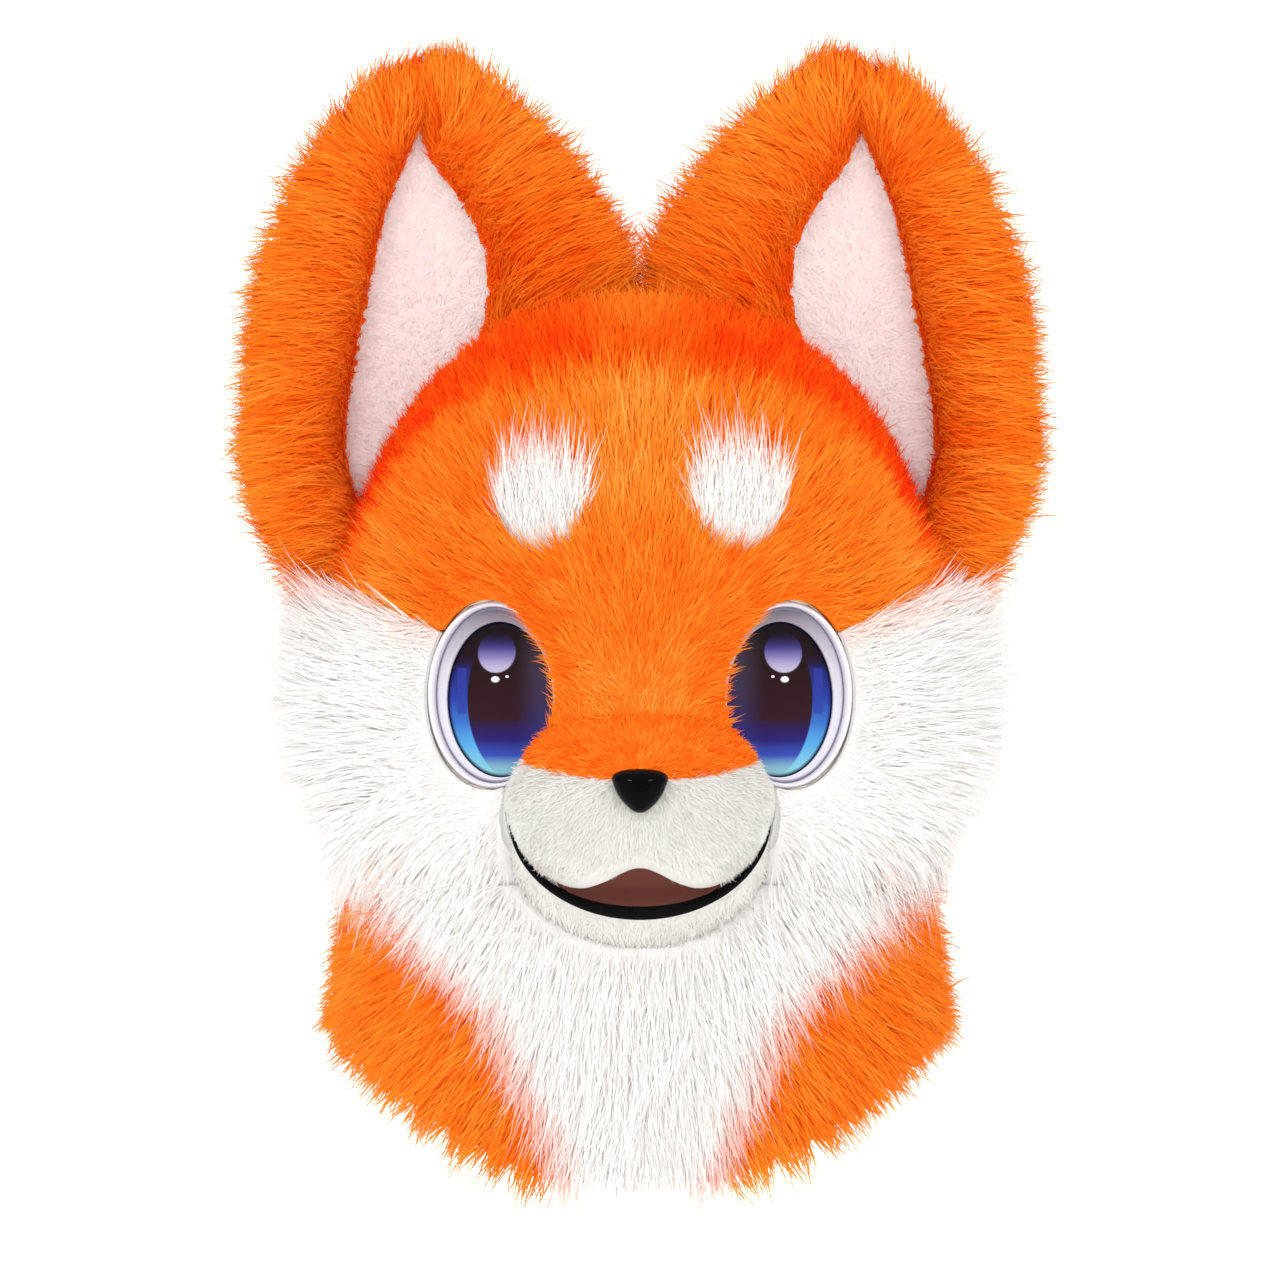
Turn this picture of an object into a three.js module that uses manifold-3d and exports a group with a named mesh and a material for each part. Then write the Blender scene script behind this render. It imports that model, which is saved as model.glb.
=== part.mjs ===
// A fox costume head of foam and faux fur, in millimetres. +Z is up and the face looks along -Y.
// The origin is the point inside the foam shell that rests on the wearer's crown.
import * as THREE from "three";
import { mergeVertices } from "three/addons/utils/BufferGeometryUtils.js";
import Module from "manifold-3d";

const wasm = await Module();
wasm.setup();

// Foam shell
const FOAM_WALL = 18;
const HEAD_HALF_WIDTH = 118;
const FACE_DEPTH = 118;
const BACK_DEPTH = 122;
const CROWN_TO_CENTRE = 115;
const HEAD_FALL = 185;
const HEAD_SQUARENESS = 2.4;
const RIM_DROP = 225;
const SHELL_COLUMNS = 20;
const SHELL_ROWS = 8;

// Fur panels
const SEAM_GAP = 0.3;
const FUR_BACKING = 2;
const FUR_BODY_SHARE = 0.42;
const LOCK_RISE = 0.85;
const LOCK_SWEEP = 0.4;
const FUR_CLEARANCE = 0.01;
const FUR_COLUMNS = 40;
const FUR_ROWS = 17;
const FOREHEAD_BACK_Y = -4;
const CHEEK_BACK_Y = 26;

// Eyes
const EYE_SPACING = 124;
const EYE_DROP = 144;
const EYE_HALF_WIDTH = 31;
const EYE_HALF_HEIGHT = 40.5;
const EYE_YAW = 24;
const EYE_RIM_WALL = 2.5;
const EYE_RIM_DEPTH = 16;
const EYE_RIM_PROUD = 4;
const EYE_PLATE = 1.5;
const EYE_DOME = 4;
const IRIS_HALF_WIDTH = 25;
const IRIS_HALF_HEIGHT = 33.5;
const IRIS_TO_NOSE = 2.2;
const IRIS_LOWER = 2;
const IRIS_OVERLAP = 0.6;
const EYE_POINTS = 18;

// Muzzle, nose and mouth
const MUZZLE_ROOT = 85;
const MUZZLE_REACH = 92;
const MUZZLE_HALF_WIDTH = 60;
const MUZZLE_RISE = 42;
const MUZZLE_FALL = 38;
const MUZZLE_DROP = 189;
const MUZZLE_WALL = 9;
const MUZZLE_SQUARENESS = 2.3;
const MUZZLE_COLUMNS = 24;
const MUZZLE_STATIONS = 10;
const PASSAGE_COLUMNS = 14;
const PASSAGE_STATIONS = 5;
const PHILTRUM_RISE = 10;
const PHILTRUM_WIDTH = 9;
const NOSE_HALF_WIDTH = 13.3;
const NOSE_HEIGHT = 18.5;
const NOSE_DROP = 183;
const NOSE_PROUD = 9;
const NOSE_SEAT = 8;
const NOSE_SQUARENESS = 2.5;
const NOSE_COLUMNS = 16;
const JAW_HALF_WIDTH = 62;
const JAW_DEPTH = 56;
const JAW_HALF_HEIGHT = 54;
const JAW_BACK = 95;
const JAW_DROP = 205;
const MOUTH_SLIT = 2.5;
const MOUTH_HALF_WIDTH = 40;
const MOUTH_DEPTH = 32;
const MOUTH_HALF_HEIGHT = 13;
const MOUTH_DROP = 224;
const LINING = 2;
const LIP_HALF_WIDTH = 55.5;
const LIP_CORNER_DROP = 197;
const LIP_SAG = 40;
const LIP_THICK = 3;
const LIP_THIN = 1.1;
const LIP_DEPTH = 3;
const LIP_SWING = 86;
const LIP_STATIONS = 20;
const LIP_CORNERS = 6;

// Ears
const EAR_SPAN = 160;
const EAR_HEIGHT = 223;
const EAR_BASE_DROP = 95;
const EAR_FRONT_Y = 4;
const EAR_CUP = 36;
const EAR_RIM = 16;
const EAR_RECESS = 15;
const EAR_PILE = 13;
const EAR_LINING_PILE = 4;
const EAR_LINING_INSET = 1.6;
const EAR_LINING_LIFT = 0.9;
const EAR_STATIONS = 11;
const EAR_CLEARANCE = 0.9;

// Neck
const NECK_HALF_WIDTH = 124;
const NECK_FRONT = 112;
const NECK_BACK = 108;
const NECK_SIDE_DROP = 300;
const NECK_FRONT_FALL = 62;
const NECK_BACK_FALL = 44;
const NECK_PILE = 14;
const NECK_FLARE = 0.6;
const NECK_COLUMNS = 40;
const NECK_ROWS = 6;
const BIB_TOP_HALF_WIDTH = 103;

// Where the foam swells or sinks: angles in degrees, and depths as shares of HEAD_HALF_WIDTH.
const SWELLINGS = [
  { name: "cheek", azimuth: 62, polar: 124, wide: 34, tall: 24, share: 0.11 },
  { name: "eye_socket", azimuth: 31, polar: 104, wide: 16, tall: 18, share: -0.05 },
  { name: "brow", azimuth: 20, polar: 78, wide: 18, tall: 14, share: 0.03 },
  { name: "muzzle_root", azimuth: 0, polar: 124, wide: 22, tall: 20, share: 0.05 },
];

// Length of the pile on the head, around each named direction.
const PILES = [
  { name: "bridge", azimuth: 0, polar: 108, reach: 24, length: 5 },
  { name: "under_eye", azimuth: 34, polar: 128, reach: 20, length: 8 },
  { name: "forehead", azimuth: 0, polar: 74, reach: 26, length: 11 },
  { name: "temple", azimuth: 52, polar: 80, reach: 24, length: 17 },
  { name: "hairline", azimuth: 62, polar: 52, reach: 20, length: 9 },
  { name: "cheek", azimuth: 84, polar: 101, reach: 21, length: 46 },
  { name: "jowl", azimuth: 84, polar: 138, reach: 20, length: 16 },
  { name: "chin", azimuth: 0, polar: 160, reach: 24, length: 14 },
  { name: "crown", azimuth: 0, polar: 25, reach: 30, length: 22 },
  { name: "back", azimuth: 180, polar: 92, reach: 60, length: 26 },
];

// The seam between orange and white, as shares of HEAD_HALF_WIDTH and EYE_DROP.
const COLOUR_SEAM = [
  { out: 1.6, down: 0.66 },
  { out: 1.27, down: 0.67 },
  { out: 1.06, down: 0.69 },
  { out: 0.87, down: 0.73 },
  { out: 0.73, down: 0.8 },
  { out: 0.5, down: 1.02 },
  { out: 0.44, down: 1.2 },
  { out: 0.29, down: 1.24 },
  { out: 0.14, down: 1.255 },
  { out: 0, down: 1.26 },
];

// A brow spot, as shares of HEAD_HALF_WIDTH and EYE_DROP.
const BROW_SPOT = { out: 0.356, down: 0.43, half_width: 0.16, half_height: 0.16 };

// The bib's edge from the jaw to below the hem, as shares of BIB_TOP_HALF_WIDTH and NECK_SIDE_DROP.
const BIB_EDGE = [
  { out: 1.0, down: 0.7 },
  { out: 1.0, down: 0.8 },
  { out: 0.69, down: 0.915 },
  { out: 0.45, down: 1.1 },
  { out: 0.32, down: 1.2 },
  { out: 0.22, down: 1.33 },
];

// Nose sections from seat to tip, as shares of NOSE_SEAT behind it and NOSE_PROUD in front.
const NOSE_SECTIONS = [
  { forward: -1, size: 0.86 },
  { forward: 0, size: 0.97 },
  { forward: 0.35, size: 1 },
  { forward: 0.7, size: 0.86 },
  { forward: 0.93, size: 0.55 },
  { forward: 1, size: 0 },
];

// Muzzle sections from root to tip, as shares of the muzzle's named sizes.
const MUZZLE_SECTIONS = [
  { forward: 0, half: 1.0, rise: 1.0, fall: 1.0 },
  { forward: 0.33, half: 1.0, rise: 0.98, fall: 1.0 },
  { forward: 0.55, half: 0.95, rise: 0.8, fall: 0.99 },
  { forward: 0.74, half: 0.83, rise: 0.58, fall: 0.95 },
  { forward: 0.88, half: 0.62, rise: 0.4, fall: 0.8 },
  { forward: 0.97, half: 0.34, rise: 0.22, fall: 0.48 },
  { forward: 1.0, half: 0, rise: 0, fall: 0 },
];

// Ear sections from base to tip. Places are shares of EAR_SPAN and EAR_HEIGHT, the pink
// lining's edges are shares of the way from outer to inner rim, and the rest is of its own size.
const EAR_SECTIONS = [
  {
    outer_out: 0.84, outer_up: -0.02, inner_out: 0.1, inner_up: 0.34,
    from: 0.14, to: 0.5, rim: 1, cup: 1, recess: 0.8,
  },
  {
    outer_out: 1, outer_up: 0.19, inner_out: 0.09, inner_up: 0.48,
    from: 0.19, to: 0.59, rim: 1, cup: 1, recess: 1,
  },
  {
    outer_out: 1.005, outer_up: 0.37, inner_out: 0.1, inner_up: 0.6,
    from: 0.22, to: 0.67, rim: 0.95, cup: 0.95, recess: 1,
  },
  {
    outer_out: 0.98, outer_up: 0.54, inner_out: 0.16, inner_up: 0.695,
    from: 0.27, to: 0.71, rim: 0.88, cup: 0.8, recess: 0.9,
  },
  {
    outer_out: 0.91, outer_up: 0.695, inner_out: 0.26, inner_up: 0.795,
    from: 0.3, to: 0.67, rim: 0.78, cup: 0.62, recess: 0.65,
  },
  {
    outer_out: 0.81, outer_up: 0.84, inner_out: 0.36, inner_up: 0.88,
    from: 0.37, to: 0.54, rim: 0.64, cup: 0.44, recess: 0.3,
  },
  {
    outer_out: 0.69, outer_up: 0.945, inner_out: 0.475, inner_up: 0.95,
    from: 0.45, to: 0.47, rim: 0.5, cup: 0.28, recess: 0.02,
  },
  {
    outer_out: 0.62, outer_up: 0.99, inner_out: 0.53, inner_up: 0.995,
    from: 0.47, to: 0.49, rim: 0.32, cup: 0.16, recess: 0,
  },
];
const LINING_STATIONS = { first: 1, last: 8 };

const HEAD_CENTRE = new THREE.Vector3(0, 0, -CROWN_TO_CENTRE);
const radians = THREE.MathUtils.degToRad;
const lerp = THREE.MathUtils.lerp;

// One column of a table, read smoothly at a share of the way through its rows.
function column(rows, name, share) {
  const at = Math.min(share, 1) * (rows.length - 1);
  const low = Math.min(Math.floor(at), rows.length - 2);
  const value = (i) => rows[Math.max(0, Math.min(rows.length - 1, i))][name];
  const t = at - low;
  const before = (value(low + 1) - value(low - 1)) / 2;
  const after = (value(low + 2) - value(low)) / 2;
  const step = value(low + 1) - value(low);
  const square = 3 * step - 2 * before - after;
  const cube = before + after - 2 * step;
  return value(low) + t * (before + t * (square + t * cube));
}

// Joins rings of points, all with as many points, into one closed surface. Its ends are
// closed across, or come together in a point, or meet each other when it is a hoop. Faces
// meet along the hollows between locks, so that every other point can stand up as a lock.
function loft(rings, hoop = false) {
  const count = rings[0].length;
  const positions = rings.flat().flatMap((p) => [p.x, p.y, p.z]);
  const index = [];
  const last = hoop ? rings.length : rings.length - 1;
  for (let i = 0; i < last; i++) {
    const next = (i + 1) % rings.length;
    for (let j = 0; j < count; j++) {
      const k = (j + 1) % count;
      const [a, b, c, d] = [i * count + j, i * count + k, next * count + k, next * count + j];
      if ((i + j) % 2 === 0) index.push(a, b, d, b, c, d);
      else index.push(a, b, c, a, c, d);
    }
  }
  if (!hoop) {
    const top = (rings.length - 1) * count;
    for (let j = 0; j < Math.floor(count / 2); j++) {
      const across = count - 1 - j;
      if (across - j < 2) continue;
      index.push(j, across, j + 1, top + j, top + j + 1, top + across);
      if (across - j < 3) continue;
      index.push(j + 1, across, across - 1, top + j + 1, top + across - 1, top + across);
    }
  }
  const geometry = new THREE.BufferGeometry();
  geometry.setAttribute("position", new THREE.Float32BufferAttribute(positions, 3));
  return solidOf(geometry.setIndex(index));
}

// A closed geometry as a solid, whichever way its faces point.
function solidOf(geometry) {
  const bare = geometry.clone();
  bare.deleteAttribute("normal");
  bare.deleteAttribute("uv");
  const merged = mergeVertices(bare, 1e-3);
  const corners = merged.index.array;
  const kept = [];
  for (let i = 0; i < corners.length; i += 3) {
    const [a, b, c] = corners.slice(i, i + 3);
    if (a !== b && b !== c && a !== c) kept.push(a, b, c);
  }
  const vertProperties = new Float32Array(merged.attributes.position.array);
  const build = (triVerts) => new wasm.Manifold(new wasm.Mesh({ numProp: 3, vertProperties, triVerts }));
  const solid = build(new Uint32Array(kept));
  return solid.volume() > 0 ? solid : build(new Uint32Array(kept.reverse()));
}

// The one piece that a cut is meant to leave, without the crumbs beside it.
function mainPiece(solid) {
  return solid.decompose().reduce((best, piece) => (piece.volume() > best.volume() ? piece : best));
}

function geometryOf(solid) {
  const mesh = solid.getMesh();
  const geometry = new THREE.BufferGeometry();
  geometry.setAttribute("position", new THREE.BufferAttribute(mesh.vertProperties, 3));
  geometry.setIndex(new THREE.BufferAttribute(mesh.triVerts, 1));
  return geometry;
}

const cut = (solid, ...tools) => tools.reduce((left, tool) => left.subtract(tool), solid);
const union = (...solids) => solids.reduce((all, one) => all.add(one));

// A form round the head's centre, swollen by a share of its size.
function swollen(solid, share) {
  const centre = HEAD_CENTRE.toArray();
  const grown = solid.translate(0, 0, CROWN_TO_CENTRE).scale(1 + share);
  return grown.translate(centre);
}

// A block between two corners.
function block(low, high) {
  const size = high.map((value, i) => value - low[i]);
  const middle = high.map((value, i) => (value + low[i]) / 2);
  return solidOf(new THREE.BoxGeometry(...size).translate(...middle));
}

const FAR = 400;

// A shape drawn as the front view shows it, extruded from one depth to another.
function frontPrism(shape, nearY, farY, curveSegments = 6) {
  const prism = new THREE.ExtrudeGeometry(shape, { depth: farY - nearY, bevelEnabled: false, curveSegments });
  return solidOf(prism.rotateX(Math.PI / 2).translate(0, farY, 0));
}

// Direction from the head's centre: azimuth 0 is the face, and polar 0 is straight up.
function direction(azimuth, polar) {
  const across = Math.sin(polar);
  return new THREE.Vector3(across * Math.sin(azimuth), -across * Math.cos(azimuth), Math.cos(polar));
}

// How strongly a place named by its angles acts on a direction, on both sides of the face.
function nearness(row, azimuth, polar, wide, tall) {
  const bell = (side) => {
    const turn = Math.atan2(Math.sin(azimuth - side), Math.cos(azimuth - side)) * Math.sin(polar);
    return Math.exp(-((turn / radians(wide)) ** 2) - ((polar - radians(row.polar)) / radians(tall)) ** 2);
  };
  const here = bell(radians(row.azimuth));
  return row.azimuth % 180 === 0 ? here : here + bell(-radians(row.azimuth));
}

function headRadius(azimuth, polar) {
  const d = direction(azimuth, polar);
  const depth = d.y < 0 ? FACE_DEPTH : BACK_DEPTH;
  const height = d.z > 0 ? CROWN_TO_CENTRE + FOAM_WALL : HEAD_FALL;
  const sum = [d.x / HEAD_HALF_WIDTH, d.y / depth, d.z / height]
    .map((share) => Math.abs(share) ** HEAD_SQUARENESS)
    .reduce((a, b) => a + b);
  const swelling = SWELLINGS.map((s) => s.share * nearness(s, azimuth, polar, s.wide, s.tall));
  return sum ** (-1 / HEAD_SQUARENESS) + swelling.reduce((a, b) => a + b) * HEAD_HALF_WIDTH;
}

function pileLength(azimuth, polar) {
  let total = 0;
  let weight = 1e-6;
  for (const p of PILES) {
    const w = nearness(p, azimuth, polar, p.reach, p.reach);
    total += w * p.length;
    weight += w;
  }
  return total / weight;
}

function headPoint(azimuth, polar, offset) {
  return direction(azimuth, polar).multiplyScalar(headRadius(azimuth, polar) + offset).add(HEAD_CENTRE);
}

// The polar angle where the head, moved out by an offset, comes down to a height.
function polarAtHeight(azimuth, height, offset) {
  let low = 0;
  let high = Math.PI * 0.95;
  for (let i = 0; i < 30; i++) {
    const middle = (low + high) / 2;
    if (headPoint(azimuth, middle, offset).z > height) low = middle;
    else high = middle;
  }
  return high;
}

// Depth of the foam's face at a place in the front view.
function faceY(x, z) {
  let near = -2 * FACE_DEPTH;
  let far = 0;
  for (let i = 0; i < 30; i++) {
    const y = (near + far) / 2;
    const from = new THREE.Vector3(x, y, z).sub(HEAD_CENTRE);
    const length = from.length();
    if (length > headRadius(Math.atan2(from.x, -from.y), Math.acos(from.z / length))) near = y;
    else far = y;
  }
  return far;
}

// The head filled in from its crown down to a height, its surface moved by an offset.
function headSolid(offset, height, columns, rows, point = headPoint) {
  const rings = [];
  for (let i = 0; i <= rows; i++) {
    const ring = [];
    for (let j = 0; j < columns; j++) {
      const azimuth = (2 * Math.PI * j) / columns;
      const polar = (polarAtHeight(azimuth, height, offset) * i) / rows;
      ring.push(point(azimuth, polar, offset, i, j));
    }
    rings.push(ring);
  }
  return loft(rings);
}

// The room straight below the shell's rim, where no fur of the head may reach in.
function rimColumn() {
  const ring = (height) =>
    Array.from({ length: SHELL_COLUMNS }, (_, j) => {
      const azimuth = (2 * Math.PI * j) / SHELL_COLUMNS;
      return headPoint(azimuth, polarAtHeight(azimuth, -RIM_DROP, SEAM_GAP), SEAM_GAP).setZ(height);
    });
  return loft([ring(-RIM_DROP), ring(-FAR)]);
}

// A point of the fur's outer form: locks stand between hollows, and lie away from the nose.
function furPoint(azimuth, polar, offset, i, j) {
  const root = headPoint(azimuth, polar, offset + FUR_BACKING);
  const pile = pileLength(azimuth, polar);
  const out = direction(azimuth, polar);
  const isLock = i > 1 && i < FUR_ROWS && (i + j) % 2 === 0;
  const reach = pile * (isLock ? 1 : FUR_BODY_SHARE);
  const nose = new THREE.Vector3(0, -MUZZLE_ROOT - MUZZLE_REACH, -NOSE_DROP);
  const away = root.clone().sub(nose);
  away.addScaledVector(out, -away.dot(out)).normalize();
  root.addScaledVector(out, reach * LOCK_RISE);
  return isLock ? root.addScaledVector(away, reach * LOCK_SWEEP) : root;
}

// Muzzle
function superEllipse(angle, half, rise, fall, squareness) {
  const power = (v) => Math.sign(v) * Math.abs(v) ** (2 / squareness);
  const up = power(Math.cos(angle));
  return new THREE.Vector2(half * power(Math.sin(angle)), up * (up > 0 ? rise : fall));
}

// How far the cleft under the nose lifts a point of a muzzle section.
function cleftRise(point) {
  const low = Math.min(1, Math.max(0, -point.y / MUZZLE_FALL));
  return PHILTRUM_RISE * low * Math.exp(-((point.x / PHILTRUM_WIDTH) ** 2));
}

function muzzleSection(share, offset, columns) {
  const grown = share < 1 ? offset : 0;
  const size = (name, full) => Math.max(0, column(MUZZLE_SECTIONS, name, share) * full + grown);
  const half = size("half", MUZZLE_HALF_WIDTH);
  const [rise, fall] = [size("rise", MUZZLE_RISE), size("fall", MUZZLE_FALL)];
  const y = -MUZZLE_ROOT - column(MUZZLE_SECTIONS, "forward", share) * (MUZZLE_REACH + offset);
  return Array.from({ length: columns }, (_, j) => {
    const p = superEllipse((2 * Math.PI * j) / columns, half, rise, fall, MUZZLE_SQUARENESS);
    return new THREE.Vector3(p.x, y, -MUZZLE_DROP + p.y + (half > 0 ? cleftRise(p) : 0));
  });
}

// Sections lie closer together towards the muzzle's tip.
function muzzleSolid(offset, columns = MUZZLE_COLUMNS, stations = MUZZLE_STATIONS) {
  const shares = Array.from({ length: stations + 1 }, (_, i) => 1 - (1 - i / stations) ** 1.4);
  return loft(shares.map((share) => muzzleSection(share, offset, columns)));
}

// Jaw: the lower half of the face, a ball of foam and short fur
function ellipsoid(halves, offset, centre, columns, rows) {
  const sizes = halves.map((half) => half + offset);
  return solidOf(new THREE.SphereGeometry(1, columns, rows).scale(...sizes).translate(...centre));
}

function jawSolid(offset) {
  return ellipsoid([JAW_HALF_WIDTH, JAW_DEPTH, JAW_HALF_HEIGHT], offset, [0, -JAW_BACK, -JAW_DROP], 22, 14);
}

function jawFrontY(x, z) {
  const share = 1 - (x / JAW_HALF_WIDTH) ** 2 - ((z + JAW_DROP) / JAW_HALF_HEIGHT) ** 2;
  return -JAW_BACK - JAW_DEPTH * Math.sqrt(Math.max(0, share));
}

function mouthHollow(offset) {
  const centre = [0, jawFrontY(0, -MOUTH_DROP), -MOUTH_DROP];
  return ellipsoid([MOUTH_HALF_WIDTH, MOUTH_DEPTH, MOUTH_HALF_HEIGHT], offset, centre, 16, 6);
}

// The black lip runs round the jaw in a smile, thick in the middle and thin at its corners.
function lipSolid(offset) {
  const rings = [];
  for (let i = 0; i <= LIP_STATIONS; i++) {
    const swing = lerp(-1, 1, i / LIP_STATIONS) * radians(LIP_SWING);
    const x = LIP_HALF_WIDTH * Math.sin(swing);
    const z = -LIP_CORNER_DROP - LIP_SAG * Math.cos(swing);
    const centre = new THREE.Vector3(x, Math.min(jawFrontY(x, z), faceY(x, z)), z);
    const thick = lerp(LIP_THIN, LIP_THICK, Math.cos(swing) ** 1.5) + offset;
    const slope = new THREE.Vector3(Math.sin(swing), 0, -Math.cos(swing));
    rings.push(
      Array.from({ length: LIP_CORNERS }, (_, j) => {
        const turn = (2 * Math.PI * j) / LIP_CORNERS;
        const p = centre.clone().addScaledVector(slope, thick * Math.cos(turn));
        p.y += (LIP_DEPTH + offset) * Math.sin(turn);
        return p;
      }),
    );
  }
  return loft(rings);
}

// Nose: a rounded triangle, wide at the top
function noseSection({ forward, size }, offset) {
  const grown = size > 0 ? offset : 0;
  const depth = forward < 0 ? NOSE_SEAT * -forward + offset : -NOSE_PROUD * forward - offset;
  return Array.from({ length: NOSE_COLUMNS }, (_, j) => {
    const angle = (2 * Math.PI * j) / NOSE_COLUMNS;
    const taper = 1.14 - 0.5 * ((1 - Math.cos(angle)) / 2) ** 1.3;
    const half = NOSE_HALF_WIDTH * size * taper + grown;
    const [rise, fall] = [0.42, 0.58].map((share) => NOSE_HEIGHT * size * share + grown);
    const p = superEllipse(angle, half, rise, fall, NOSE_SQUARENESS);
    return new THREE.Vector3(p.x, -MUZZLE_ROOT - MUZZLE_REACH + depth, -NOSE_DROP + p.y);
  });
}

const noseSolid = (offset) => loft(NOSE_SECTIONS.map((section) => noseSection(section, offset)));

// Eyes: each is built facing -Y at its own origin, and its group turns it outwards.
function eyeRing(half, height, y, centre = [0, 0]) {
  return Array.from({ length: EYE_POINTS }, (_, j) => {
    const angle = (2 * Math.PI * j) / EYE_POINTS;
    const x = centre[0] + half * Math.sin(angle);
    const z = centre[1] + height * Math.cos(angle);
    return new THREE.Vector3(x, typeof y === "function" ? y(x, z) : y, z);
  });
}

function eyePlug(grow) {
  const back = EYE_RIM_DEPTH * 3;
  return loft([
    eyeRing(EYE_HALF_WIDTH + grow, EYE_HALF_HEIGHT + grow, -back),
    eyeRing(EYE_HALF_WIDTH + grow, EYE_HALF_HEIGHT + grow, back),
  ]);
}

function eyeRim() {
  const backY = EYE_RIM_DEPTH - EYE_RIM_PROUD;
  const ring = (inset, y) => eyeRing(EYE_HALF_WIDTH - inset, EYE_HALF_HEIGHT - inset, y);
  return loft(
    [
      ring(0, backY),
      ring(0, -EYE_RIM_PROUD * 0.6),
      ring(EYE_RIM_WALL * 0.5, -EYE_RIM_PROUD),
      ring(EYE_RIM_WALL, -EYE_RIM_PROUD * 0.6),
      ring(EYE_RIM_WALL, backY),
    ],
    true,
  );
}

const PLATE_HALF_WIDTH = EYE_HALF_WIDTH - EYE_RIM_WALL - SEAM_GAP;
const PLATE_HALF_HEIGHT = EYE_HALF_HEIGHT - EYE_RIM_WALL - SEAM_GAP;

// Depth of the eye plate's front, domed forwards in its middle.
function plateY(x, z) {
  const share = 1 - (x / PLATE_HALF_WIDTH) ** 2 - (z / PLATE_HALF_HEIGHT) ** 2;
  return -EYE_DOME * Math.max(0, share);
}

function eyeWhite(side) {
  const iris = [-side * IRIS_TO_NOSE, -IRIS_LOWER];
  const rings = (depth) =>
    [0, 0.5, 1].map((t) =>
      eyeRing(
        lerp(PLATE_HALF_WIDTH, IRIS_HALF_WIDTH, t),
        lerp(PLATE_HALF_HEIGHT, IRIS_HALF_HEIGHT, t),
        (x, z) => plateY(x, z) + depth,
        [iris[0] * t, iris[1] * t],
      ),
    );
  return loft([...rings(0), ...rings(EYE_PLATE).reverse()], true);
}

function eyeIris(side) {
  const centre = [-side * IRIS_TO_NOSE, -IRIS_LOWER];
  const front = EYE_PLATE + SEAM_GAP;
  const half = Math.min(IRIS_HALF_WIDTH + IRIS_OVERLAP, PLATE_HALF_WIDTH - IRIS_TO_NOSE);
  const ring = (t, depth) =>
    eyeRing(half * t, (IRIS_HALF_HEIGHT + IRIS_OVERLAP) * t, (x, z) => plateY(x, z) + depth, centre);
  return loft([
    ring(0, front),
    ring(0.5, front),
    ring(1, front),
    ring(1, front + EYE_PLATE),
    ring(0.5, front + EYE_PLATE),
    ring(0, front + EYE_PLATE),
  ]);
}

// Ears
const earShare = (station) => station / EAR_STATIONS;

function earStation(station) {
  const value = (name) => column(EAR_SECTIONS, name, earShare(station));
  const place = (out, up) =>
    new THREE.Vector3(value(out) * EAR_SPAN, EAR_FRONT_Y, value(up) * EAR_HEIGHT - EAR_BASE_DROP);
  return {
    outer: place("outer_out", "outer_up"),
    inner: place("inner_out", "inner_up"),
    from: value("from"),
    to: value("to"),
    rim: value("rim") * EAR_RIM,
    cup: value("cup") * EAR_CUP,
    recess: Math.max(0, value("recess")) * EAR_RECESS,
  };
}

// Depth of the recess that holds the lining, straight between its five corners.
const RECESS_SHARES = [0, 0.25, 0.5, 0.75, 1];

function recessDepth(e, share) {
  const at = Math.min(share * 4, 3.999);
  const low = Math.floor(at);
  const corner = (i) => e.recess * Math.max(0, Math.sin((Math.PI * i) / 4)) ** 0.6;
  return lerp(corner(low), corner(low + 1), at - low);
}

// One closed section of an ear: outer rolled rim, recess, inner rolled rim and back. A filled
// section has no recess, to clear room for ear and lining together.
function earRing(station, grow, filled) {
  const e = earStation(station);
  const furry = [];
  const flat = [];
  const add = (s, y, isFur) => {
    flat.push(new THREE.Vector2(s, y));
    furry.push(isFur);
  };
  for (const t of [0, 0.2, 0.5, 0.8]) add(e.from * t, -e.rim * Math.sin(Math.PI * t) ** 0.8, true);
  for (const t of RECESS_SHARES) {
    add(lerp(e.from, e.to, t), filled ? -e.rim : recessDepth(e, t), false);
  }
  for (const t of [0.15, 0.4, 0.65, 0.85, 1]) {
    add(lerp(e.to, 1, t), -e.rim * Math.sin(Math.PI * t) ** 0.8, true);
  }
  for (const t of [0.94, 0.82, 0.7, 0.57, 0.43, 0.3, 0.18, 0.06]) {
    add(t, e.cup * Math.sin(Math.PI * t) ** 0.7, true);
  }
  const chord = e.inner.clone().sub(e.outer);
  const width = chord.length();
  const along = chord.clone().normalize();
  const count = flat.length;
  return flat.map((p, k) => {
    const before = flat[(k + count - 1) % count];
    const after = flat[(k + 1) % count];
    const normal = new THREE.Vector2(after.y - before.y, -(after.x - before.x) * width).normalize();
    const isLock = furry[k] && (k + station) % 2 === 0 && station > 0;
    const reach = furry[k] ? EAR_PILE * (isLock ? 1 : FUR_BODY_SHARE) * lerp(1, 0.7, earShare(station)) : 0;
    const point = e.outer.clone().addScaledVector(chord, p.x);
    point.y += p.y;
    point.addScaledVector(along, normal.x * (reach + grow));
    point.y += normal.y * (reach + grow);
    if (isLock) point.z += reach * 0.3;
    return point;
  });
}

function earSolid(grow, filled = false) {
  const rings = Array.from({ length: EAR_STATIONS + 1 }, (_, i) => earRing(i, grow, filled));
  const tip = rings[rings.length - 1];
  const top = tip.reduce((sum, p) => sum.add(p), new THREE.Vector3()).divideScalar(tip.length);
  top.z += EAR_PILE * 0.8 + grow;
  rings.push(tip.map(() => top));
  return loft(rings);
}

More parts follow.
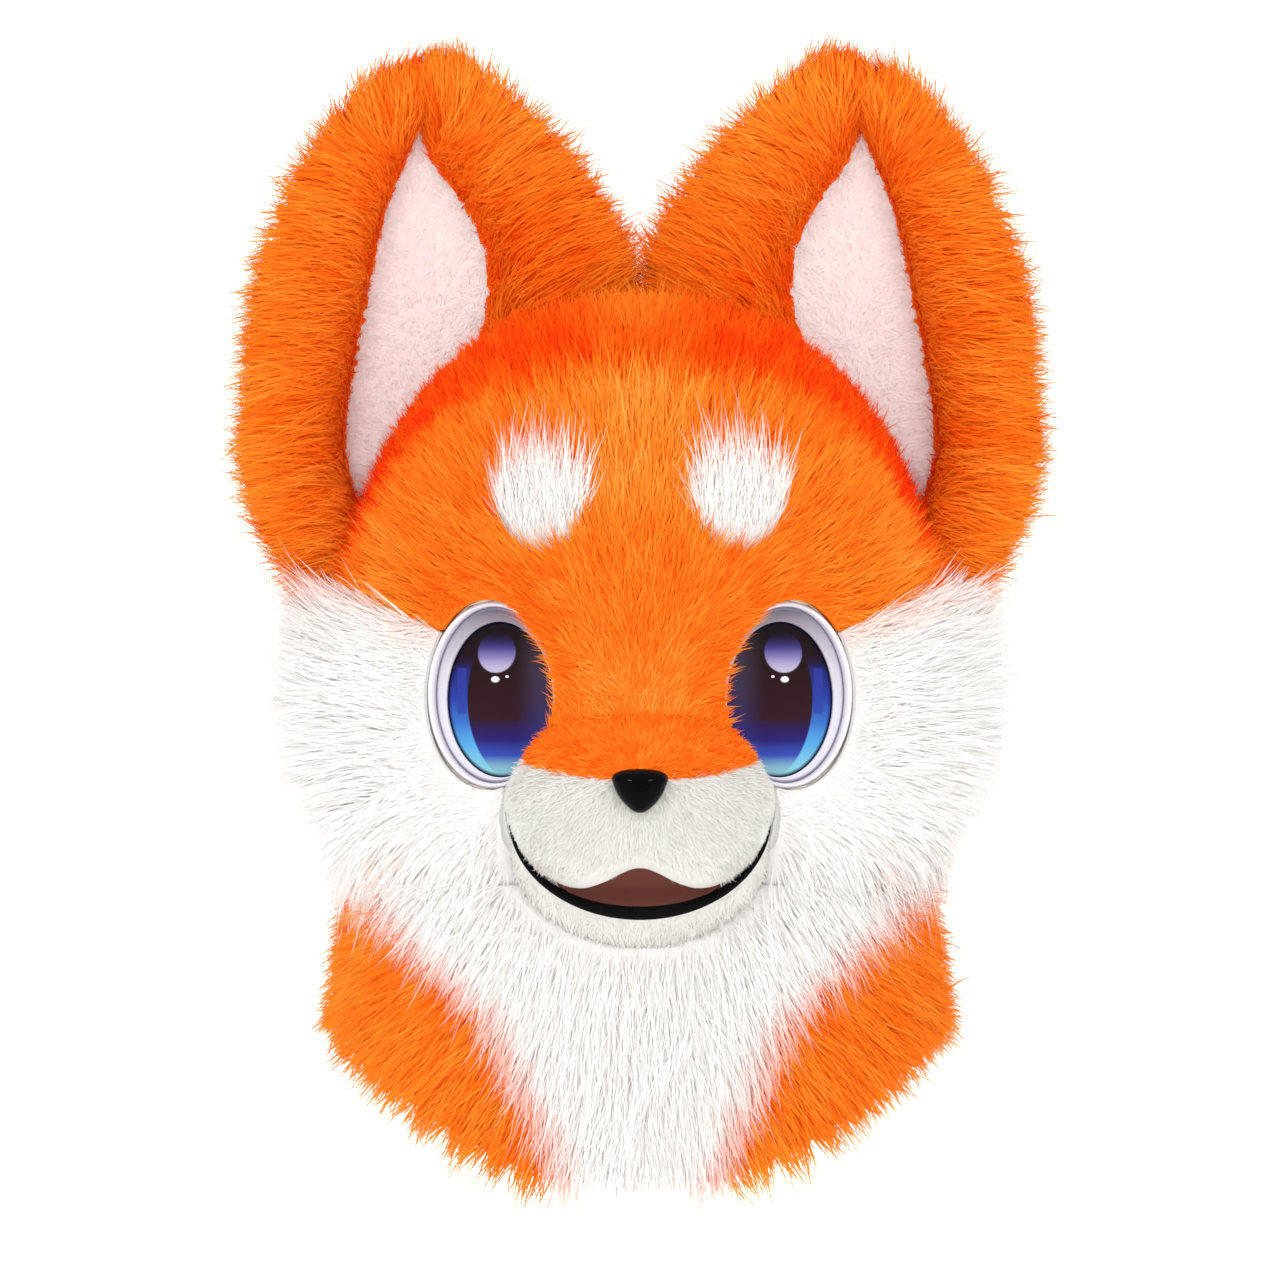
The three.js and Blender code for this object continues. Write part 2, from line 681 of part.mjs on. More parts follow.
// The pink lining fills the recess's floor, a little clear of the ear all round.
function earLining() {
  const rings = [];
  for (let i = LINING_STATIONS.first; i <= LINING_STATIONS.last; i++) {
    const e = earStation(i);
    const inset = EAR_LINING_INSET / (e.outer.distanceTo(e.inner) * (e.to - e.from));
    const at = (share, raised) => {
      const kept = lerp(inset, 1 - inset, share);
      const p = e.outer.clone().lerp(e.inner, lerp(e.from, e.to, kept));
      p.y += recessDepth(e, kept) - raised;
      return p;
    };
    const back = RECESS_SHARES.map((share) => at(share, EAR_LINING_LIFT));
    const front = RECESS_SHARES.map((share) => at(share, EAR_LINING_LIFT + EAR_LINING_PILE)).reverse();
    rings.push([...back, ...front]);
  }
  return loft(rings);
}

const mirrored = (solid) => solidOf(geometryOf(solid).scale(-1, 1, 1));

// Neck: a hanging tube of fur cloth from the shell's rim to a hem that dips in front and behind
function neckHem(azimuth) {
  const forward = Math.cos(azimuth);
  const fall = forward > 0 ? NECK_FRONT_FALL : NECK_BACK_FALL;
  return new THREE.Vector3(
    NECK_HALF_WIDTH * Math.sin(azimuth),
    -(forward > 0 ? NECK_FRONT : NECK_BACK) * forward,
    -NECK_SIDE_DROP - fall * forward * forward,
  );
}

function neckPoint(azimuth, share, offset) {
  const top = -RIM_DROP - SEAM_GAP;
  const rim = headPoint(azimuth, polarAtHeight(azimuth, -RIM_DROP, 0), 0);
  const hem = neckHem(azimuth);
  const spread = Math.max(0, share) ** NECK_FLARE;
  const out = new THREE.Vector3(Math.sin(azimuth), -Math.cos(azimuth), 0);
  const point = rim.lerp(hem, spread).setZ(lerp(top, hem.z, share));
  return point.addScaledVector(out, offset);
}

function neckRing(point) {
  return Array.from({ length: NECK_COLUMNS }, (_, j) => point((2 * Math.PI * j) / NECK_COLUMNS, j));
}

function neckTube() {
  const outer = Array.from({ length: NECK_ROWS + 1 }, (_, i) =>
    neckRing((azimuth, j) => {
      const isLock = i > 0 && (i + j) % 2 === 0;
      const reach = NECK_PILE * (isLock ? 1 : FUR_BODY_SHARE);
      const point = neckPoint(azimuth, i / NECK_ROWS, FUR_BACKING + reach * LOCK_RISE);
      if (isLock) point.z -= reach * LOCK_SWEEP;
      return point;
    }),
  );
  const inner = [1, 0.5, 0].map((share) => neckRing((azimuth) => neckPoint(azimuth, share, 0)));
  return loft([...outer, ...inner], true);
}

// The neck tube's inside as one filled form, to trim what must stay clear of it.
function neckCore() {
  const offset = FUR_BACKING + SEAM_GAP;
  return loft([-0.02, 0.5, 1].map((share) => neckRing((azimuth) => neckPoint(azimuth, share, offset))));
}

// Outlines that the front view shows
function colourSeamShape(lower) {
  const place = (p) => new THREE.Vector2(p.out * HEAD_HALF_WIDTH, -p.down * EYE_DROP - lower);
  const points = COLOUR_SEAM.map(place);
  const across = [...points.map((p) => new THREE.Vector2(-p.x, p.y)), ...points.slice(0, -1).reverse()];
  const shape = new THREE.Shape();
  shape.moveTo(-FAR, FAR);
  shape.lineTo(-FAR, across[0].y);
  shape.lineTo(across[0].x, across[0].y);
  shape.splineThru(across.slice(1));
  shape.lineTo(FAR, across[0].y);
  shape.lineTo(FAR, FAR);
  shape.closePath();
  return shape;
}

function browShape(side, grow) {
  const shape = new THREE.Shape();
  shape.absellipse(
    side * BROW_SPOT.out * HEAD_HALF_WIDTH,
    -BROW_SPOT.down * EYE_DROP,
    BROW_SPOT.half_width * HEAD_HALF_WIDTH + grow,
    BROW_SPOT.half_height * EYE_DROP + grow,
    0,
    2 * Math.PI,
  );
  return shape;
}

function bibShape(grow) {
  const edge = BIB_EDGE.map((p) => ({ x: p.out * BIB_TOP_HALF_WIDTH + grow, y: -p.down * NECK_SIDE_DROP }));
  const right = edge.map((p) => new THREE.Vector2(p.x, p.y));
  const left = edge.map((p) => new THREE.Vector2(-p.x, p.y)).reverse();
  return new THREE.Shape([...right, ...left]);
}

const SIDES = { left: -1, right: 1 };

// Eye groups
function eyeGroup(side) {
  const group = new THREE.Group();
  const x = (side * EYE_SPACING) / 2;
  group.position.set(x, faceY(x, -EYE_DROP) + EYE_RIM_PROUD / 2, -EYE_DROP);
  group.rotation.z = side * radians(EYE_YAW);
  group.updateMatrixWorld(true);
  return group;
}
const eyeGroups = { left: eyeGroup(-1), right: eyeGroup(1) };

function placed(solid, group) {
  return solid.transform(group.matrixWorld.elements);
}

const eyePlugs = Object.values(eyeGroups).map((group) => placed(eyePlug(SEAM_GAP), group));

// Filled forms and their clearances
const foamForm = headSolid(0, -RIM_DROP, SHELL_COLUMNS, SHELL_ROWS);
const foamClear = union(headSolid(SEAM_GAP, -RIM_DROP - SEAM_GAP, SHELL_COLUMNS, SHELL_ROWS), rimColumn());
const furForm = headSolid(0, -RIM_DROP, FUR_COLUMNS, FUR_ROWS, furPoint);
const furClear = swollen(furForm, FUR_CLEARANCE);
const muzzleForm = muzzleSolid(0);
const muzzleClear = muzzleSolid(SEAM_GAP * 2);
const muzzleInside = muzzleSolid(-MUZZLE_WALL, PASSAGE_COLUMNS, PASSAGE_STATIONS);
const muzzlePassage = muzzleInside.translate(0, MUZZLE_WALL, 0);
const rightEar = earSolid(0);
const rightEarClear = union(earSolid(EAR_CLEARANCE), earSolid(EAR_CLEARANCE, true));
const ears = { left: mirrored(rightEar), right: rightEar };
const earClears = { left: mirrored(rightEarClear), right: rightEarClear };
const jawClear = jawSolid(SEAM_GAP * 2);
const lipClear = lipSolid(SEAM_GAP * 2);

const aboveSeam = frontPrism(colourSeamShape(0), -FAR, FAR, 2);
const aboveSeamClear = frontPrism(colourSeamShape(SEAM_GAP), -FAR, FAR, 2);

const materials = {
  orange: new THREE.MeshStandardMaterial({ color: 0xff7a1a, roughness: 0.95 }),
  white: new THREE.MeshStandardMaterial({ color: 0xf6f3ee, roughness: 0.95 }),
  pink: new THREE.MeshStandardMaterial({ color: 0xffdedb, roughness: 0.95 }),
  foam: new THREE.MeshStandardMaterial({ color: 0xd9d4c8, roughness: 0.9 }),
  rim: new THREE.MeshStandardMaterial({ color: 0xe9e8f2, roughness: 0.25 }),
  sclera: new THREE.MeshStandardMaterial({ color: 0xe4e1f4, roughness: 0.35 }),
  iris: new THREE.MeshStandardMaterial({ color: 0x1d2a8c, roughness: 0.3 }),
  black: new THREE.MeshStandardMaterial({ color: 0x0a0a0b, roughness: 0.12 }),
  lip: new THREE.MeshStandardMaterial({ color: 0x050505, roughness: 0.8 }),
  mouth: new THREE.MeshStandardMaterial({ color: 0x7a4440, roughness: 0.85 }),
};

const head = new THREE.Group();

function addNode(name, solid, material, parent = head) {
  const rounded = mainPiece(solidOf(geometryOf(mainPiece(solid))));
  const geometry = geometryOf(rounded);
  geometry.computeVertexNormals();
  const mesh = new THREE.Mesh(geometry, material);
  mesh.name = name;
  parent.add(mesh);
}

// Foam shell with its wearer's hollow, eye holes and the passage behind the muzzle
function foamShell() {
  const hollow = headSolid(-FOAM_WALL, -RIM_DROP - FOAM_WALL, SHELL_COLUMNS, SHELL_ROWS);
  return cut(foamForm, hollow, muzzlePassage, ...eyePlugs);
}

// All that lies in front of a depth, or on one side of a width.
const inFrontOf = (y) => block([-FAR, -FAR, -FAR], [FAR, y, FAR]);
const leftOf = (x) => block([-FAR, -FAR, -FAR], [x, FAR, FAR]);
const rightOf = (x) => block([x, -FAR, -FAR], [FAR, FAR, FAR]);
const sideRooms = { left: leftOf(-SEAM_GAP / 2), right: rightOf(SEAM_GAP / 2) };

// Fur panels of the head: orange above the colour seam, white below it
function headPanels() {
  const faceTools = [muzzleClear, jawClear, lipClear, ...eyePlugs];
  const pile = cut(furForm, foamClear, ...faceTools, ...Object.values(earClears));
  const spots = Object.values(SIDES).map((side) => frontPrism(browShape(side, SEAM_GAP), -FAR, 0));
  const forehead = pile.intersect(aboveSeam).intersect(inFrontOf(FOREHEAD_BACK_Y));
  addNode("forehead_fur", cut(forehead, ...spots), materials.orange);
  const white = cut(pile.intersect(inFrontOf(CHEEK_BACK_Y)), aboveSeamClear);
  for (const [name, side] of Object.entries(SIDES)) {
    addNode("brow_fur_" + name, forehead.intersect(frontPrism(browShape(side, 0), -FAR, 0)), materials.white);
    addNode("cheek_fur_" + name, white.intersect(sideRooms[name]), materials.white);
  }
  const frontClear = aboveSeam.intersect(inFrontOf(FOREHEAD_BACK_Y + SEAM_GAP));
  const cheekClear = inFrontOf(CHEEK_BACK_Y + SEAM_GAP).subtract(aboveSeam);
  addNode("crown_back_fur", cut(pile, frontClear, cheekClear), materials.orange);
}

// Muzzle: a hollow shell of foam and short fur, orange on top and white below
function muzzlePieces() {
  const nose = noseSolid(0);
  const shell = cut(muzzleForm, muzzleInside, foamClear, noseSolid(SEAM_GAP), ...eyePlugs);
  addNode("muzzle_top_fur", shell.intersect(aboveSeam), materials.orange);
  addNode("muzzle_fur", shell.subtract(aboveSeamClear), materials.white);
  addNode("nose", nose, materials.black);
}

// Jaw, its black lip, and the cloth that lines the open mouth
function jawPieces() {
  const mouthRoom = muzzleSolid(MOUTH_SLIT);
  const trims = [foamClear, mouthRoom, neckCore()];
  addNode("jaw_fur", cut(jawSolid(0), ...trims, lipClear, mouthHollow(0)), materials.white);
  const lining = cut(mouthHollow(-SEAM_GAP), mouthHollow(-SEAM_GAP - LINING), ...trims, lipClear);
  addNode("mouth_lining", lining.intersect(jawSolid(-SEAM_GAP)), materials.mouth);
  addNode("lower_lip", cut(lipSolid(0), muzzleClear, foamClear), materials.lip);
}

function eyePieces() {
  for (const [name, side] of Object.entries(SIDES)) {
    const group = eyeGroups[name];
    head.add(group);
    addNode("eye_rim_" + name, eyeRim(), materials.rim, group);
    addNode("eye_white_" + name, eyeWhite(side), materials.sclera, group);
    addNode("eye_iris_" + name, eyeIris(side), materials.iris, group);
  }
}

function earPieces() {
  const lining = earLining();
  for (const [name, side] of Object.entries(SIDES)) {
    addNode("ear_fur_" + name, cut(ears[name], foamClear), materials.orange);
    addNode("ear_lining_" + name, cut(side < 0 ? mirrored(lining) : lining, foamClear), materials.pink);
  }
}

// Neck: a white bib in front, an orange panel on each side and one behind
function neckPieces() {
  const tube = cut(neckTube(), furClear, jawClear);
  const front = tube.intersect(inFrontOf(-SEAM_GAP / 2));
  addNode("neck_bib_fur", front.intersect(frontPrism(bibShape(0), -FAR, 0)), materials.white);
  const sides = front.subtract(frontPrism(bibShape(SEAM_GAP), -FAR, 0));
  for (const [name, room] of Object.entries(sideRooms)) {
    addNode("neck_side_fur_" + name, sides.intersect(room), materials.orange);
  }
  addNode("neck_back_fur", tube.subtract(inFrontOf(SEAM_GAP / 2)), materials.orange);
}

addNode("head_foam", foamShell(), materials.foam);
headPanels();
muzzlePieces();
jawPieces();
eyePieces();
earPieces();
neckPieces();

export default head;
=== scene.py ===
import bmesh
import bpy
import numpy as np
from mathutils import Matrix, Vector
from mathutils.bvhtree import BVHTree


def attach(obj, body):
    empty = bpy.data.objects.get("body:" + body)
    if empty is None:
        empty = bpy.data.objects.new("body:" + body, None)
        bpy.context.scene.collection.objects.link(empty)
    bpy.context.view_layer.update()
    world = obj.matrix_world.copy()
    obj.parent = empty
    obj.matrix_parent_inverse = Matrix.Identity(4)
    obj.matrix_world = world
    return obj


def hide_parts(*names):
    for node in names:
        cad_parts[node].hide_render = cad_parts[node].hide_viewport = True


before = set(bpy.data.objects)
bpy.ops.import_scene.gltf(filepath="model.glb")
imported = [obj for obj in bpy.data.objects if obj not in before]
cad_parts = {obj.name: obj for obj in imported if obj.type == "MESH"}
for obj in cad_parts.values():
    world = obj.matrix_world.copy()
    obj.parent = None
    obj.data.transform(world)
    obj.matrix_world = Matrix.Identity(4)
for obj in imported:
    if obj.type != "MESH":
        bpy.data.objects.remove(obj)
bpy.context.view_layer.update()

# Foam base of the head.
# The real piece is carved upholstery foam, open below, with eye holes and a hollow muzzle.
# It carries everything else. The CAD solid is shown as it is, in a foam material.
FOAM_COLOUR = (226, 219, 200)


def linear(red, green, blue):
    """A screen colour, 0 to 255 a channel, as the linear colour that shaders take."""
    shares = [channel / 255 for channel in (red, green, blue)]
    return tuple(s / 12.92 if s <= 0.04045 else ((s + 0.055) / 1.055) ** 2.4 for s in shares) + (1.0,)


def add(tree, kind, inputs=None, **settings):
    """A new node. Inputs are set by name or number, to a value or from another node's output."""
    node = tree.nodes.new(kind)
    for name, value in settings.items():
        setattr(node, name, value)
    for key, value in (inputs or {}).items():
        if isinstance(value, bpy.types.NodeSocket):
            tree.links.new(value, node.inputs[key])
        else:
            node.inputs[key].default_value = value
    return node


def math(tree, operation, first, second=0.0, clamp=False):
    inputs = {0: first, 1: second}
    return add(tree, "ShaderNodeMath", inputs, operation=operation, use_clamp=clamp).outputs[0]


def vector_math(tree, operation, first, second=(0.0, 0.0, 0.0)):
    return add(tree, "ShaderNodeVectorMath", {0: first, 1: second}, operation=operation).outputs[0]


def scaled(tree, vector, factor):
    inputs = {0: vector, "Scale": factor}
    return add(tree, "ShaderNodeVectorMath", inputs, operation="SCALE").outputs[0]


def mixed(tree, factor, first, second):
    """One colour turning into another."""
    inputs = {0: factor, 6: first, 7: second}
    return add(tree, "ShaderNodeMix", inputs, data_type="RGBA").outputs[2]


def ramp(tree, factor, stops):
    """A colour ramp through stops of (place, screen colour)."""
    node = add(tree, "ShaderNodeValToRGB", {0: factor})
    elements = node.color_ramp.elements
    for place, colour in stops[1:-1]:
        elements.new(place).color = linear(*colour)
    elements[0].position, elements[0].color = stops[0][0], linear(*stops[0][1])
    elements[-1].position, elements[-1].color = stops[-1][0], linear(*stops[-1][1])
    return node.outputs[0]


def attribute(tree, name):
    return add(tree, "ShaderNodeAttribute", attribute_name=name)


def new_material(name, **values):
    """A material and its Principled shader, with values set by socket name."""
    material = bpy.data.materials.new(name)
    material.use_nodes = True
    shader = material.node_tree.nodes["Principled BSDF"]
    for key, value in values.items():
        shader.inputs[key.replace("_", " ")].default_value = value
    return material, shader


foam_material, foam_shader = new_material("foam", Base_Color=linear(*FOAM_COLOUR), Roughness=0.95)
pores = add(foam_material.node_tree, "ShaderNodeTexNoise", {"Scale": 900.0, "Detail": 3.0})
pore_bump = add(foam_material.node_tree, "ShaderNodeBump", {"Strength": 0.35, "Distance": 0.0006})
foam_material.node_tree.links.new(pores.outputs[0], pore_bump.inputs["Height"])
foam_material.node_tree.links.new(pore_bump.outputs[0], foam_shader.inputs["Normal"])
head_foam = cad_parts["head_foam"]
head_foam.data.materials.clear()
head_foam.data.materials.append(foam_material)

# Skins of the head and muzzle, and the coat of fur that grows on them.
# Every panel is a 2 mm backing cloth glued to the foam, with its pile growing out of it.
# Sizes here are in millimetres, in the frame's axes, and follow the CAD model.
MM = 0.001
HEAD_CENTRE = np.array([0.0, 0.0, -115.0])
HALF_WIDTH, FACE_DEPTH, BACK_DEPTH = 118.0, 118.0, 122.0
HEIGHT_UP, HEIGHT_DOWN, SQUARENESS = 133.0, 185.0, 2.4
RIM_Z = -225.0
SWELLINGS = [
    {"azimuth": 62, "polar": 124, "wide": 34, "tall": 24, "share": 0.11},
    {"azimuth": 31, "polar": 104, "wide": 16, "tall": 18, "share": -0.05},
    {"azimuth": 20, "polar": 78, "wide": 18, "tall": 14, "share": 0.03},
    {"azimuth": 0, "polar": 124, "wide": 22, "tall": 20, "share": 0.05},
]
PILES = [
    {"azimuth": 0, "polar": 108, "reach": 24, "length": 5},
    {"azimuth": 34, "polar": 128, "reach": 20, "length": 8},
    {"azimuth": 0, "polar": 74, "reach": 26, "length": 11},
    {"azimuth": 52, "polar": 80, "reach": 24, "length": 17},
    {"azimuth": 62, "polar": 52, "reach": 20, "length": 9},
    {"azimuth": 84, "polar": 101, "reach": 21, "length": 46},
    {"azimuth": 84, "polar": 138, "reach": 20, "length": 16},
    {"azimuth": 0, "polar": 160, "reach": 24, "length": 14},
    {"azimuth": 0, "polar": 25, "reach": 30, "length": 22},
    {"azimuth": 180, "polar": 92, "reach": 60, "length": 26},
]


def direction(azimuth, polar):
    across = np.sin(polar)
    return np.stack([across * np.sin(azimuth), -across * np.cos(azimuth), np.cos(polar)], -1)


def nearness(row, azimuth, polar, wide, tall):
    """How strongly a place named by its angles acts on a direction, on both sides of the face."""
    total = 0.0
    sides = (1,) if row["azimuth"] % 180 == 0 else (1, -1)
    for side in sides:
        apart = azimuth - side * np.radians(row["azimuth"])
        turn = np.arctan2(np.sin(apart), np.cos(apart)) * np.sin(polar)
        down = polar - np.radians(row["polar"])
        total = total + np.exp(-((turn / np.radians(wide)) ** 2) - (down / np.radians(tall)) ** 2)
    return total


def head_radius(azimuth, polar):
    d = direction(azimuth, polar)
    depth = np.where(d[..., 1] < 0, FACE_DEPTH, BACK_DEPTH)
    height = np.where(d[..., 2] > 0, HEIGHT_UP, HEIGHT_DOWN)
    shares = [d[..., 0] / HALF_WIDTH, d[..., 1] / depth, d[..., 2] / height]
    radius = sum(np.abs(share) ** SQUARENESS for share in shares) ** (-1 / SQUARENESS)
    for row in SWELLINGS:
        radius = radius + row["share"] * HALF_WIDTH * nearness(row, azimuth, polar, row["wide"], row["tall"])
    return radius


def head_point(azimuth, polar, offset):
    return direction(azimuth, polar) * (head_radius(azimuth, polar) + offset)[..., None] + HEAD_CENTRE


def angles(points):
    """Azimuth, polar angle and distance of points from the head's centre."""
    away = points - HEAD_CENTRE
    distance = np.linalg.norm(away, axis=-1)
    return np.arctan2(away[..., 0], -away[..., 1]), np.arccos(away[..., 2] / distance), distance


def head_distance(points):
    """How far points lie outside the foam, along the ray from the head's centre."""
    azimuth, polar, distance = angles(points)
    return distance - head_radius(azimuth, polar)


def pile_length(points):
    azimuth, polar, _ = angles(points)
    near = [nearness(row, azimuth, polar, row["reach"], row["reach"]) for row in PILES]
    total = sum(n * row["length"] for n, row in zip(near, PILES))
    return total / (sum(near) + 1e-6)


def smoothstep(low, high, value):
    t = np.clip((value - low) / (high - low), 0.0, 1.0)
    return t * t * (3 - 2 * t)


def column(rows, index, share):
    """One column of a table, read smoothly at a share of the way through its rows."""
    at = min(share, 1.0) * (len(rows) - 1)
    low = min(int(at), len(rows) - 2)
    t = at - low
    before2, here, after, after2 = [rows[max(0, min(len(rows) - 1, low + k))][index] for k in (-1, 0, 1, 2)]
    leave, arrive, step = (after - before2) / 2, (after2 - here) / 2, after - here
    return here + t * (leave + t * ((3 * step - 2 * leave - arrive) + t * (leave + arrive - 2 * step)))


def loft_faces(rings, count, hoop=False):
    """Quads between rings of as many points each, and from last to first ring when it is a hoop."""
    i, j = np.meshgrid(np.arange(rings if hoop else rings - 1), np.arange(count), indexing="ij")
    k, after = (j + 1) % count, (i + 1) % rings
    corners = [i * count + j, after * count + j, after * count + k, i * count + k]
    return np.stack(corners, -1).reshape(-1, 4)


def outward(mesh):
    """Joins doubled points, closes poles and turns every face outwards."""
    welded = bmesh.new()
    welded.from_mesh(mesh)
    bmesh.ops.remove_doubles(welded, verts=welded.verts, dist=1e-6)
    bmesh.ops.recalc_face_normals(welded, faces=welded.faces)
    welded.to_mesh(mesh)
    welded.free()


def mesh_object(name, points, faces, attributes=None):
    """A mesh from points in millimetres. Doubled points are joined unless attributes are given."""
    mesh = bpy.data.meshes.new(name)
    mesh.from_pydata((np.asarray(points) * MM).tolist(), [], np.asarray(faces).tolist())
    for key, (domain, kind, values) in (attributes or {}).items():
        layer = mesh.attributes.new(key, kind, domain)
        layer.data.foreach_set("vector" if kind == "FLOAT_VECTOR" else "value", np.ravel(values))
    if attributes is None:
        outward(mesh)
    mesh.polygons.foreach_set("use_smooth", [True] * len(mesh.polygons))
    obj = bpy.data.objects.new(name, mesh)
    bpy.context.scene.collection.objects.link(obj)
    return obj


def evaluated_mesh(obj):
    """The object's mesh with its modifiers applied. The object itself is removed."""
    depsgraph = bpy.context.evaluated_depsgraph_get()
    mesh = bpy.data.meshes.new_from_object(obj.evaluated_get(depsgraph))
    bpy.data.objects.remove(obj)
    return mesh


def surface(points, quads, voxel=0.0, smoothing=0):
    """Rows of point and normal, and triangles, of closed forms fused where they overlap."""
    obj = mesh_object("form", points, quads)
    if voxel:
        remesh = obj.modifiers.new("Remesh", "REMESH")
        remesh.mode, remesh.voxel_size = "VOXEL", voxel * MM
        soften = obj.modifiers.new("Smooth", "SMOOTH")
        soften.factor, soften.iterations = 0.5, smoothing
    mesh = evaluated_mesh(obj)
    mesh.calc_loop_triangles()
    place = np.empty((len(mesh.vertices), 3))
    normal = np.empty((len(mesh.vertices), 3))
    mesh.vertices.foreach_get("co", place.ravel())
    mesh.vertices.foreach_get("normal", normal.ravel())
    triangles = np.empty((len(mesh.loop_triangles), 3), dtype=np.int64)
    mesh.loop_triangles.foreach_get("vertices", triangles.ravel())
    bpy.data.meshes.remove(mesh)
    return np.hstack([place / MM, normal]), triangles


def clipped(rows, triangles, values):
    """The part of a triangle mesh where values are above zero, cut cleanly along zero."""
    inside = values[triangles] > 0
    count = inside.sum(1)
    pieces, pairs = [triangles[count == 3]], []
    for wanted in (1, 2):
        odd = inside[count == wanted] if wanted == 1 else ~inside[count == wanted]
        picked = triangles[count == wanted]
        first = odd.argmax(1)
        turn = (first[:, None] + np.arange(3)) % 3
        a, b, c = np.take_along_axis(picked, turn, 1).T
        start = len(values) + sum(len(p) for p in pairs)
        cut_b, cut_c = start + np.arange(len(a)), start + len(a) + np.arange(len(a))
        pairs += [np.stack([a, b], 1), np.stack([a, c], 1)]
        if wanted == 1:
            pieces.append(np.stack([a, cut_b, cut_c], 1))
        else:
            pieces += [np.stack([cut_b, b, c], 1), np.stack([cut_b, c, cut_c], 1)]
    ends = np.sort(np.concatenate(pairs), 1)
    share = values[ends[:, 0]] / (values[ends[:, 0]] - values[ends[:, 1]])
    added = rows[ends[:, 0]] + (rows[ends[:, 1]] - rows[ends[:, 0]]) * share[:, None]
    edges, back = np.unique(ends, axis=0, return_inverse=True)
    first_of = np.zeros(len(edges), dtype=np.int64)
    first_of[back.ravel()] = np.arange(len(ends))
    remap = np.concatenate([np.arange(len(rows)), len(rows) + first_of[back.ravel()]])
    kept = remap[np.concatenate(pieces)]
    kept = kept[(kept[:, 0] != kept[:, 1]) & (kept[:, 1] != kept[:, 2]) & (kept[:, 0] != kept[:, 2])]
    used, corners = np.unique(kept, return_inverse=True)
    return np.vstack([rows, added])[used], corners.reshape(-1, 3)


def depth_outside(points, tree):
    """Signed distance of points from a closed form, above zero outside it."""
    found = [tree.find_nearest(Vector(p)) for p in points]
    return np.array([(Vector(p) - hit).dot(n) for p, (hit, n, _, _) in zip(points, found)])


def bvh(rows, triangles):
    return BVHTree.FromPolygons(rows[:, :3].tolist(), triangles.tolist())


# Share along a strand whose colour the backing sheet takes, so the undercoat carries the painted root shade.
UNDERCOAT_ALONG = 0.3


